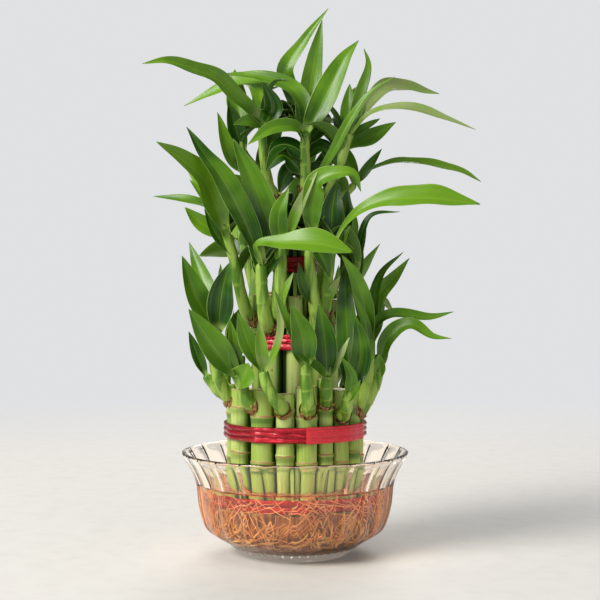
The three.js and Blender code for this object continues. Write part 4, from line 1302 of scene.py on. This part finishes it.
@dataclass
class LeafyShoot:
    """One shoot: its stems with their papery feet, and its leaves."""

    FRONT_FACE = Vector((0.0, -0.8, 0.6))
    STEM_FACE = Vector((0.3, 0.2, 0.0))

    shoot: Shoot
    host: Cane
    seed: float
    blade_round: int = 20
    blade_steps: int = 34
    blade_thick: float = 0.24
    blade_start: float = 0.87
    blade_tip: float = 0.03
    blade_roll: float = 14.0
    fold: float = 0.2
    fullness: float = 1.16
    curl_root: float = 1.35
    curl: float = 0.32
    stem_round: int = 14
    stem_steps: int = 40
    stem_foot: float = 1.32
    stem_end: float = 0.95
    sheaths: int = 4
    husk_high: float = 6.4
    husk_flare: float = 1.0
    husk_wall: float = 0.42
    husk_section: int = 12
    husk_steps: int = 36
    inner_turn: float = 60.0
    inner_leaves: dict[Tier, int] = field(
        default_factory=lambda: {Tier.OUTER: 0, Tier.MIDDLE: 4, Tier.INNER: 5}
    )

    def _turned(self, points: Iterable[Point]) -> list[Vector]:
        """Returns points turned round the plant to where this shoot grows."""
        turn = Matrix.Rotation(math.radians(self.shoot.turn), 3, "Z")
        return [turn @ Vector(point) for point in points]

    def _width(self, part: float, widest: float) -> float:
        """Returns how wide a blade is at a part of its length: lance-shaped, with a drawn-out tip.

        The further out a blade is widest, the narrower it starts.
        """
        if part < widest:
            start = self.blade_start - widest
            return lerp(start, 1.0, math.sin(part / widest * math.pi / 2) ** (widest / Leaf.widest) ** 2)
        beyond = (part - widest) / (1 - widest)
        return 1 - beyond**1.7 * (1 - self.blade_tip)

    def _blade(self, shape: Shape, leaf: Leaf, index: int, upper_way: Vector | None = None) -> None:
        """Adds one leaf blade.

        Args:
            shape: The piece that it belongs to.
            leaf: The leaf.
            index: Its number on the shoot.
            upper_way: Where its upper side faces. Without it, that is the front of the shoot.
        """
        points = self._turned(leaf.points)
        route = Route(points)
        chord = (points[-1] - points[0]).normalized()
        face = Matrix.Rotation(math.radians(self.shoot.turn), 3, "Z") @ (upper_way or self.FRONT_FACE)
        roll = math.radians(leaf.roll or self.blade_roll * math.sin(index * 2.3))
        face.rotate(Quaternion(chord, roll))
        seed = spread(self.seed + index * 0.377)
        phase = math.tau * seed
        twist = 0.16 * math.sin(phase * 3)
        steps = self.blade_steps

        def frame(part: float) -> tuple[Vector, Vector, Vector]:
            """Returns the midrib's place, the way across the blade and the way out of its upper side."""
            along = route.along(part)
            across = along.cross(face).normalized()
            over = across.cross(along)
            lean = Quaternion(along, twist * math.sin(part * math.pi * 1.4 + phase))
            return route.at(part), lean @ across, lean @ over

        frames = [frame(i / steps) for i in range(steps + 1)]

        def lay(section: float, along: float) -> tuple[Vector, Marks]:
            """Lays the thin section along the midrib, folded and curled, with soft waves at its edges."""
            middle, across, over = frames[round(along * steps)]
            turn = math.tau * section
            side, up = math.cos(turn), math.sin(turn)
            half = leaf.width * self.fullness / 2 * self._width(along, leaf.widest)
            curl = lerp(self.curl_root, self.curl, ease(along / 0.3)) + 0.12 * ease((along - 0.7) / 0.3)
            sideways = math.sin(curl * side) / curl * half
            raised = (1 - math.cos(curl * side)) / curl * half + self.fold * abs(side) * half
            cycles = math.tau * (1.6 + seed) * along * route.length / 60 + phase + (1.3 if side > 0 else 0.0)
            raised += 0.085 * half * side * side * math.sin(cycles) * ease(along / 0.2)
            ends = min(1.0, 18 * along, 12 * (1 - along))
            thick = self.blade_thick * (1.2 - 0.7 * along) * max(ends, 0.0)
            rib = 0.22 * (1 - along) * bell(abs(side), 0.0, 0.2) * ends
            raised += up * thick - (rib if up < 0 else 0.45 * rib)
            upper = 1.0 if up > 0.05 else 0.0 if up < -0.05 else 0.5
            pale = ease(1 - along / 0.16)
            if leaf.tone is Tone.PALE:
                pale = max(pale, 0.25 * ease((along - 0.6) / 0.4))
            return middle + across * sideways + over * raised, (leaf.tone.value, seed, upper, 0.75 * pale)

        shape.sheet(
            self.blade_round, steps, lay,
            lambda section, along: (0.5 + 0.5 * math.cos(math.tau * section), along * route.length / 50),
        )

    def _inner_blades(self, shape: Shape) -> None:
        """Adds the darker leaves that fill the shoot behind the listed ones, from the tops of its stems."""
        draw = random.Random(round(self.seed * 1e4) + 5)
        for index in range(self.inner_leaves[self.shoot.tier]):
            stem = self.shoot.stems[index % len(self.shoot.stems)]
            crown = Route([Vector(point) for point in stem.points]).at(draw.uniform(0.6, 1.0))
            inward = math.degrees(math.atan2(-crown.x, crown.y))
            way = around(inward + draw.uniform(-self.inner_turn, self.inner_turn), 1.0, 0.0)
            reach, rise = draw.uniform(14, 26), draw.uniform(10, 27)
            up = Vector((0, 0, 1))
            points = [
                crown,
                crown + way * reach * 0.2 + up * rise * 0.5,
                crown + way * reach * 0.6 + up * rise * 0.95,
                crown + way * reach * 1.1 + up * rise * draw.uniform(0.6, 1.2),
            ]
            # Most of them take the dark tone: painted shade, for the shade deep in the shoot.
            tone = Tone.DARK if draw.random() < 0.7 else Tone.MID
            leaf = Leaf(draw.uniform(8.0, 11.0), points, tone)
            self._blade(shape, leaf, index + 20, up * 0.7 - way * 0.7)

    def _ways(self, route: Route, part: float) -> tuple[Vector, Vector, Vector]:
        """Returns the middle of a stem at a part of its route, and the two ways across it."""
        along = route.along(part)
        across = along.cross(self.STEM_FACE).normalized()
        return route.at(part), across, across.cross(along)

    def _stem(self, shape: Shape, stem: Stem, index: int) -> None:
        """Adds one stem, which starts inside its cane, and the husks round its foot."""
        start = self.host.axis(self.shoot.seat)
        route = Route([start, *self._turned(stem.points)])
        leave = (self.host.radius + 0.3) / route.length
        seed = spread(self.seed + index * 0.53)

        def thickness(part: float) -> float:
            """Returns the stem's radius: a swollen foot, then a step at the mouth of each sheath."""
            sheath = spread(part * self.sheaths + seed)
            foot = 0.12 * bell(part, leave + 0.05, 0.14)
            mouth = 0.10 * (1 - sheath) - 0.05
            end = math.sqrt(max(0.0, 1 - ease((part - 0.94) / 0.06) ** 2))
            return stem.radius * (lerp(self.stem_foot, self.stem_end, part) + foot + mouth) * end

        def lay(section: float, along: float) -> tuple[Vector, Marks]:
            """Lays the round section along the stem."""
            turn = math.tau * section
            radius = thickness(along) * (1 + 0.03 * math.sin(turn * 2 + seed * 9))
            if along == 0.0:
                radius = 0.0
            place = beside(*self._ways(route, along), turn, radius)
            edge = bell(spread(along * self.sheaths + seed), 0.02, 0.1)
            papery = 0.75 * bell(along, leave + 0.02, 0.1)
            green = lerp(0.25, 0.7, along)
            return place, (papery, edge, green, seed)

        shape.sheet(self.stem_round, self.stem_steps, lay)
        self._husk(shape, route, leave, thickness, seed)

    def _husk(
        self, shape: Shape, route: Route, leave: float, thickness: Callable[[float], float], seed: float,
    ) -> None:
        """Adds the ragged papery collar where a stem leaves its cane.

        Args:
            shape: The piece that it belongs to.
            route: The stem's route.
            leave: The part of the route where it leaves the cane.
            thickness: Gives the stem's radius at a part of its route.
            seed: Picks this collar's tears.
        """
        def lay(section: float, along: float) -> tuple[Vector, Marks]:
            """Lays a thin wall, out and up its outer side and back down its inner side, round the stem."""
            turn = math.tau * along
            torn = 0.6 + 0.5 * ripple((math.cos(turn) * 2.6, math.sin(turn) * 2.6, seed * 30))
            torn += 0.34 * ripple((math.cos(turn) * 7, math.sin(turn) * 7, seed * 11))
            outside = section < 0.5
            height = 2 * section if outside else 2 - 2 * section
            part = leave - 1.8 / route.length + height * torn * self.husk_high / route.length
            wall = self.husk_wall * (1 - 0.6 * height) if outside else 0.0
            flare = self.husk_flare * height**2 * (0.6 + torn * 0.4)
            radius = thickness(max(part, 0.02)) + 0.1 + flare + wall
            place = beside(*self._ways(route, part), turn, radius)
            return place, (1.0 - 0.25 * height, 0.0, 0.2, seed)

        shape.sheet(self.husk_section, self.husk_steps, lay)

    def build(self, leaf_material: bpy.types.Material, stem_material: bpy.types.Material) -> None:
        """Makes the two pieces of the shoot, its leaves and its stems, which stand for its one node."""
        nodes = () if self.shoot.extra else (self.shoot.name,)
        leaves = Shape(self.shoot.name + "_leaves")
        for index, leaf in enumerate(self.shoot.leaves):
            self._blade(leaves, leaf, index)
        self._inner_blades(leaves)
        leaves.finish(leaf_material, "leaf", *nodes)
        stems = Shape(self.shoot.name + "_stems")
        for index, stem in enumerate(self.shoot.stems):
            self._stem(stems, stem, index)
        stems.finish(stem_material, "leaf", *nodes)


@dataclass
class GlassBowl:
    """The pressed-glass bowl: scooped flutes outside, a smooth inside and a notched foot."""

    foot: Sequence[tuple[float, float]] = (
        (0.0, 1.2), (25.2, 1.2), (26.4, 0.9), (27.2, 0.15), (27.8, 0.0), (28.9, 0.0),
    )
    outside: Sequence[tuple[float, float]] = (
        (29.6, 0.0), (39.0, 6.8), (50.4, 14.8), (54.4, 26.0),
        (56.0, 39.0), (58.0, 45.0), (61.5, 52.0), (64.3, 56.2),
    )
    rim: Sequence[tuple[float, float]] = ((64.5, 57.0), (64.0, 57.7), (63.1, 57.9), (62.2, 57.6))
    inside: Sequence[tuple[float, float]] = (
        (61.8, 57.0), (59.0, 52.0), (55.6, 45.0), (53.5, 39.0), (51.9, 26.0), (47.9, 14.8), (34.0, 6.0),
    )
    floor: Sequence[tuple[float, float]] = ((31.0, 5.85), (0.0, 5.8))
    plain_radius: float = 20.0
    wall_least: float = 0.9
    flutes: int = 24
    flute_depth: float = 1.25
    flute_low: float = 9.0
    flute_high: float = 58.5
    crest: float = 0.35
    notches: int = 48
    notch_depth: float = 0.9
    steps: int = 288
    wall_steps: int = 44

    def _curve(self, points: Sequence[tuple[float, float]], steps: int) -> Profile:
        """Returns a smooth run of radius and height through a few points."""
        route = Route([Vector((radius, 0.0, height)) for radius, height in points])
        places = [route.at(i / steps) for i in range(steps + 1)]
        return [(place.x, place.z) for place in places]

    def inner_radius(self, height: float) -> float:
        """Returns the radius of the inside at a height, between its points."""
        for (high_radius, high), (low_radius, low) in zip(self.inside, self.inside[1:]):
            if height >= low:
                return lerp(low_radius, high_radius, (height - low) / (high - low))
        return self.inside[-1][0]

    def inner_curve(self, low: float, high: float, steps: int) -> Profile:
        """Returns the inside between two heights, from low to high."""
        run = self._curve(self.inside, 60)
        run.reverse()
        heights = [lerp(low, high, i / steps) for i in range(steps + 1)]
        places = []
        for height in heights:
            pair = next((two for two in zip(run, run[1:]) if two[1][1] >= height), (run[-2], run[-1]))
            (low_radius, under), (high_radius, over) = pair
            part = (height - under) / max(over - under, WELD)
            places.append((lerp(low_radius, high_radius, part), height))
        return places

    def _fluted(self, place: Vector) -> Vector:
        """Returns where a place on the plain outside lies once it is fluted and notched."""
        radius = place.xy.length
        if radius < self.plain_radius or radius < self.inner_radius(place.z) + self.wall_least:
            return place
        turn = math.atan2(place.x, -place.y)
        across = 2 * spread(turn / math.tau * self.flutes) - 1
        start = self.flute_low + 2.4 * across**2
        present = ease((self.flute_high - place.z) / 5.0) * ease((place.z - start) / 4.0)
        scoop = -self.flute_depth * (1 - abs(across) ** 2.4) + self.crest * across**12
        notch = 0.5 + 0.5 * math.cos(turn * self.notches + place.z * 0.55)
        low = ease(place.z / 0.9) * ease((7.4 - place.z) / 2.0)
        out = scoop * present - self.notch_depth * notch**1.5 * low
        factor = 1 + out / radius
        return Vector((place.x * factor, place.y * factor, place.z))

    def build(self, material: bpy.types.Material) -> None:
        """Makes the bowl."""
        outline = [*self.foot, *self._curve(self.outside, self.wall_steps), *self.rim]
        outline += [*self._curve(self.inside, self.wall_steps), *self.floor]
        shape = Shape("bowl_pressed")
        shape.turned(outline, self.steps)
        shape.push(self._fluted)
        shape.finish(material, "glass", "bowl")


@dataclass
class BowlWater:
    """The water: its flat top with a raised lip at the glass, and its body down to the floor of the bowl."""

    bowl: GlassBowl
    level: float = 40.0
    floor: float = 5.95
    into_glass: float = 0.12
    lip: float = 0.7
    steps: int = 144

    def build(self, material: bpy.types.Material) -> None:
        """Makes the water, which reaches a hair into the glass, so that light passes straight on."""
        wall = self.bowl.inner_curve(self.floor + 0.1, self.level + self.lip, 30)
        edge = wall[-1][0]
        outline: Profile = [(0.0, self.floor), (32.0, self.floor)]
        outline += [(radius + self.into_glass, height) for radius, height in wall]
        outline += [(edge - 0.5, self.level + 0.25), (edge - 1.3, self.level + 0.05)]
        outline += [(edge - 2.5, self.level), (0.0, self.level)]
        shape = Shape("water_body")
        shape.turned(outline, self.steps)
        shape.finish(material, "water", "water")


class RootKind(Enum):
    """The kinds of root strand, as they show through the glass."""

    WALL = "wall"
    SIDE = "side"
    CROSSING = "crossing"
    GOLDEN = "golden"
    MAT = "mat"


@dataclass(frozen=True)
class Strands:
    """All strands of one kind: how many, how thin and thick, and their marks for a tint from 0 to 1."""

    kind: RootKind
    count: int
    thinnest: float
    thickest: float
    marks: Callable[[float], Marks]


@dataclass
class RootMass:
    """The roots: a lumpy mat round the feet of the canes, and strands that grow from it and over the tie."""

    STRANDS = (
        Strands(RootKind.WALL, 80, 0.26, 0.5, lambda tint: (
            0.25 + 0.6 * tint, 0.5 * (1 - tint), 0.1, tint,
        )),
        Strands(RootKind.SIDE, 46, 0.3, 0.5, lambda tint: (
            0.6 + 0.4 * tint, 0.3 * tint, 0.35, tint,
        )),
        Strands(RootKind.CROSSING, 190, 0.2, 0.4, lambda tint: (
            0.85 + 0.15 * tint, 0.12 * tint, 0.1 + 0.5 * tint**2, tint,
        )),
        Strands(RootKind.GOLDEN, 160, 0.3, 0.7, lambda tint: (
            0.2 * tint, 0.55 + 0.45 * tint, 0.05 + 0.55 * tint**2, tint,
        )),
        Strands(RootKind.MAT, 130, 0.35, 0.8, lambda tint: (
            0.35 * tint, 0.6 * (1 - tint), 0.1, tint,
        )),
    )

    bowl: GlassBowl
    mat_low: float = 6.6
    mat_foot: float = 24.0
    mat_high: float = 28.5
    mat_radius: float = 40.6
    mat_section: int = 40
    mat_steps: int = 216
    clear_of_glass: float = 0.9
    sides: int = 5
    steps: int = 16
    seed: int = 11

    def _strand(self, shape: Shape, points: Sequence[Vector], radius: float, marks: Marks) -> None:
        """Adds one strand that thins towards its tip.

        Args:
            shape: The piece that it belongs to.
            points: Where it runs.
            radius: How thick it is at its root.
            marks: Its marks, of which the third, how pale it is, grows towards the tip.
        """
        route = Route(points)
        salmon, golden, pale, seed = marks

        def lay(section: float, along: float) -> tuple[Vector, Marks]:
            """Lays the round section along the strand."""
            direction = route.along(along)
            across = direction.orthogonal().normalized()
            over = across.cross(direction)
            turn = math.tau * section
            size = radius * (1 - 0.6 * along) * min(1.0, 30 * along, 30 * (1 - along))
            place = beside(route.at(along), across, over, turn, size)
            return place, (salmon, golden, min(1.0, pale + 0.3 * along), seed)

        shape.sheet(self.sides, self.steps, lay)

    def _inside(self, place: Vector, gap: float) -> Vector:
        """Returns a place kept inside the glass by a gap."""
        most = self.bowl.inner_radius(place.z) - gap
        out = place.xy.length
        if out <= most:
            return place
        return Vector((place.x * most / out, place.y * most / out, place.z))

    def _climbing(self, kind: RootKind, angle: float, draw: random.Random) -> list[Vector]:
        """Returns the points of a strand that climbs the glass from an angle, or one at either side."""
        lean = draw.gauss(0, 16)
        top = draw.uniform(20, 39)
        if kind is RootKind.SIDE:
            angle = draw.choice((-90, 90)) + draw.gauss(0, 16)
            lean = draw.gauss(0, 9)
            top = draw.uniform(36, 50)
        near = draw.uniform(0.6, 4.5)
        route = [around(angle, 39, draw.uniform(12, 15))]
        for part in (0.2, 0.45, 0.7, 1.0):
            height = lerp(13, top, part)
            wander = draw.gauss(0, 2.4)
            reach = self.bowl.inner_radius(height) - near - draw.uniform(0, 1.5)
            route.append(around(angle + lean * part + wander, reach, height))
        return route

    def _crossing(self, angle: float, draw: random.Random) -> list[Vector]:
        """Returns the points of a strand that starts high at an angle and slants down across the others."""
        start = around(angle, draw.uniform(41.0, 43.2), 40.4 - 12.0 * draw.random() ** 1.8)
        heading = draw.choice((-1, 1)) * draw.uniform(6, 34)
        drop = draw.uniform(2, 20)
        bow = draw.uniform(-3, 3.5)
        route = [start]
        for part in (0.35, 0.7, 1.0):
            height = max(9.0, start.z - drop * part + bow * math.sin(math.pi * part))
            reach = lerp(43.0, self.bowl.inner_radius(height) - 1.2, part * draw.uniform(0.5, 1.0))
            route.append(around(angle + heading * part, reach, height))
        return route

    def _golden(self, angle: float, draw: random.Random) -> list[Vector]:
        """Returns the points of a strand that runs from an angle down to the floor of the bowl."""
        start = around(angle, draw.uniform(38, 41.5), draw.uniform(16, 30))
        heading = draw.choice((-1, 1)) * draw.uniform(6, 30)
        route = [start]
        for part in (0.35, 0.7, 1.0):
            height = lerp(start.z, draw.uniform(8.5, 15), part**0.7) + draw.uniform(-1, 1)
            reach = lerp(41.5, self.bowl.inner_radius(height) - 2.0, part * draw.uniform(0.3, 0.9))
            route.append(around(angle + heading * part + draw.gauss(0, 3), reach, height))
        return route

    def _lying(self, angle: float, draw: random.Random) -> list[Vector]:
        """Returns the points of a strand that wanders low down from an angle."""
        height = draw.uniform(7.6, 16)
        reach = draw.uniform(31, 45)
        route = [around(angle, reach, height)]
        for _ in range(3):
            angle += draw.gauss(0, 11)
            reach = min(46.0, max(24.0, reach + draw.gauss(1.0, 4.5)))
            height = min(20.0, max(7.6, height + draw.gauss(0, 1.8)))
            route.append(around(angle, reach, height))
        return route

    def _route(self, kind: RootKind, draw: random.Random) -> list[Vector]:
        """Returns a strand's points for its kind."""
        angle = draw.uniform(0, 360)
        if kind in (RootKind.WALL, RootKind.SIDE):
            return self._climbing(kind, angle, draw)
        if kind is RootKind.CROSSING:
            return self._crossing(angle, draw)
        if kind is RootKind.GOLDEN:
            return self._golden(angle, draw)
        return self._lying(angle, draw)

    def _add(self, shape: Shape, strands: Strands, draw: random.Random) -> None:
        """Adds the strands of one kind."""
        for _ in range(strands.count):
            route = [self._inside(place, self.clear_of_glass) for place in self._route(strands.kind, draw)]
            tint = draw.random()
            radius = draw.uniform(strands.thinnest, strands.thickest)
            self._strand(shape, route, radius, strands.marks(tint))

    def _mat(self, shape: Shape) -> None:
        """Adds the lumpy mat that the canes stand in, ribbed like the roots that it is made of."""
        def lay(section: float, along: float) -> tuple[Vector, Marks]:
            """Lays the mat's outline, from the middle of its foot to that of its top, all the way round."""
            turn = 360 * along
            if section < 0.2:
                radius, height = lerp(0, self.mat_foot, section / 0.2), self.mat_low
            elif section < 0.8:
                up = (section - 0.2) / 0.6
                radius = lerp(self.mat_foot, self.mat_radius, math.sin(min(1.0, up * 3.2) * math.pi / 2))
                height = lerp(self.mat_low, self.mat_high, up**1.2)
            else:
                radius, height = lerp(self.mat_radius, 0, (section - 0.8) / 0.2), self.mat_high
            ring = Vector((math.cos(math.radians(turn)), math.sin(math.radians(turn)), 0))
            lumps = ripple(ring * 5 + Vector((0, 0, height * 0.12)))
            ribs = ripple(ring * 26 + Vector((0, 0, height * 0.1)))
            edge = ease((radius - 25) / 12)
            radius += (1.5 * lumps + 0.8 * ribs) * edge
            swell = 1.2 * lumps + 3.0 * ripple(ring * 3 + Vector((0, 0, 7)))
            height += swell * edge * ease((section - 0.5) / 0.3)
            return around(turn, radius, height), (0.05 + 0.25 * lumps, 0.12 + 0.5 * ribs, 0.0, 0.5)

        shape.sheet(self.mat_section, self.mat_steps, lay)

    def build(self, material: bpy.types.Material) -> None:
        """Makes the mat and its strands as one piece."""
        draw = random.Random(self.seed)
        shape = Shape("roots_grown")
        self._mat(shape)
        for strands in self.STRANDS:
            self._add(shape, strands, draw)
        shape.finish(material, "root", "roots")


@dataclass(frozen=True)
class FloorFinish(Finish):
    """Pale matt floor that fades into the light round it."""

    name: str = "pale_floor"
    colour: Colour = shade(226, 223, 218)
    near: float = 0.35
    far: float = 1.1

    def wire(self, wiring: Wiring, shader: bpy.types.Node, effects: SharedEffects) -> None:
        """Wires a faint mottle, and lets the floor fade out away from the plant."""
        place = wiring.place()
        mottle = wiring.ramp(wiring.noise(place, 70.0, 5.0, 0.6), 0.4, 0.75, 0.0, 0.5)
        darker = tuple(0.9 * part for part in self.colour)
        wiring.feed(shader.inputs["Base Color"], wiring.mix(mottle, self.colour, darker))
        wiring.feed(shader.inputs["Roughness"], 0.8)
        distance = wiring.node("VectorMath", operation="LENGTH")
        wiring.feed(distance.inputs[0], place)
        shown = wiring.ramp(distance.outputs["Value"], self.near, self.far, 1.0, 0.0)
        wiring.feed(shader.inputs["Alpha"], shown)


@dataclass(frozen=True)
class Lamp:
    """A square soft light: its name, place, size, power and colour."""

    name: str
    place: Point
    size: float
    power: float
    colour: Colour


@dataclass
class Studio:
    """The floor, the lights and the camera."""

    lamps: Sequence[Lamp] = (
        Lamp("key", (-1.35, -0.95, 1.4), 0.9, 42.0, (1.0, 0.98, 0.94)),
        Lamp("fill", (1.4, -1.3, 0.7), 1.2, 3.0, (0.97, 0.99, 1.0)),
        Lamp("back", (0.2, 1.5, 1.2), 0.9, 13.0, (1.0, 1.0, 1.0)),
    )
    lamp_aim: Point = (0.0, 0.0, 0.15)
    floor_radius: float = 1.2
    floor_sides: int = 96
    backdrop: Colour = shade(226, 227, 229)
    seen: float = 0.98
    ambience: float = 0.44
    gloss_dimmed: float = 0.5
    camera_place: tuple[float, float, float] = (0.0028, -0.731, 0.152)
    camera_pitch: float = -0.67
    lens: float = 77.1
    sensor: float = 36.0

    def _floor(self, effects: SharedEffects) -> None:
        """Lays the floor."""
        made = bmesh.new()
        bmesh.ops.create_circle(made, cap_ends=True, segments=self.floor_sides, radius=self.floor_radius)
        data = bpy.data.meshes.new("floor")
        made.to_mesh(data)
        made.free()
        data.materials.append(FloorFinish().build(effects))
        floor = bpy.data.objects.new("floor", data)
        bpy.context.scene.collection.objects.link(floor)

    def _hang(self, lamp: Lamp) -> None:
        """Hangs a lamp so that it faces the plant."""
        data = bpy.data.lights.new(lamp.name, "AREA")
        data.size, data.energy, data.color = lamp.size, lamp.power, lamp.colour
        light = bpy.data.objects.new(lamp.name, data)
        light.location = lamp.place
        aim = Vector(self.lamp_aim) - light.location
        light.rotation_euler = aim.to_track_quat("-Z", "Y").to_euler()
        bpy.context.scene.collection.objects.link(light)

    def _air(self) -> None:
        """Sets the light that comes from all round.

        It is brightest where the camera sees it, straight on or through glass. It lights the plant less, and
        soft reflections show it dimmer still.
        """
        world = bpy.data.worlds.new("soft_room")
        bpy.context.scene.world = world
        world.use_nodes = True
        wiring = Wiring(world.node_tree)
        background = next(node for node in world.node_tree.nodes if node.type == "BACKGROUND")
        path = wiring.node("LightPath")
        through_glass = wiring.math("MINIMUM", path.outputs["Transmission Depth"], 1.0)
        direct = wiring.math("MAXIMUM", path.outputs["Is Camera Ray"], through_glass)
        wiring.feed(background.inputs["Color"], self.backdrop)
        strength = wiring.ramp(direct, 0.0, 1.0, self.ambience, self.seen)
        sharp = wiring.math("MAXIMUM", path.outputs["Is Singular Ray"], through_glass)
        gloss = wiring.math("SUBTRACT", path.outputs["Is Glossy Ray"], sharp, True)
        dimmed = wiring.math("SUBTRACT", 1.0, wiring.math("MULTIPLY", gloss, self.gloss_dimmed))
        wiring.feed(background.inputs["Strength"], wiring.math("MULTIPLY", strength, dimmed))

    def _camera(self) -> None:
        """Sets the camera where the photograph was taken from."""
        data = bpy.data.cameras.new("camera")
        data.lens, data.sensor_width = self.lens, self.sensor
        camera = bpy.data.objects.new("camera", data)
        camera.location = self.camera_place
        camera.rotation_euler = (math.radians(90 + self.camera_pitch), 0.0, 0.0)
        bpy.context.scene.collection.objects.link(camera)
        bpy.context.scene.camera = camera

    def build(self, effects: SharedEffects) -> None:
        """Sets up the studio."""
        self._camera()
        self._floor(effects)
        for lamp in self.lamps:
            self._hang(lamp)
        self._air()
        bpy.context.scene.view_settings.view_transform = "Standard"


def main() -> None:
    """Builds the studio and the plant in the frame."""
    logging.basicConfig(level=logging.INFO, format="%(name)s %(message)s")
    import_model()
    effects = SharedEffects()
    Studio().build(effects)
    glass, water, foil = ClearGlass().build(effects), ClearWater().build(effects), FoilFinish().build(effects)
    root, green = RootFinish().build(effects), CaneFinish().build(effects)
    leaf, stem = LeafFinish().build(effects), StemFinish().build(effects)

    bowl = GlassBowl()
    bowl.build(glass)
    BowlWater(bowl).build(water)
    RootMass(bowl).build(root)

    bundle = CaneBundle()
    bundle.build(green)
    outer, middle, inner = bundle.of(Tier.OUTER), bundle.of(Tier.MIDDLE), bundle.of(Tier.INNER)
    lower = FoilTie("tie_lower", outer, 66.3, 75.0, strands=3, seed=0.3)
    for tie in (
        FoilTie("tie_roots", outer, 29.0, 37.0, strands=2, seed=2.1),
        lower,
        FoilTie("tie_middle", middle, 116.0, 125.0, strands=3, seed=4.7),
        FoilTie("tie_upper", inner, 159.0, 168.0, strands=3, seed=6.2),
    ):
        tie.build(foil)
    FlatEnd(lower).build(foil)

    for index, shoot in enumerate([*SHOOTS, *back_shoots()]):
        LeafyShoot(shoot, bundle.host(shoot), spread(index * GOLDEN_PART)).build(leaf, stem)


if __name__ == "__main__":
    main()
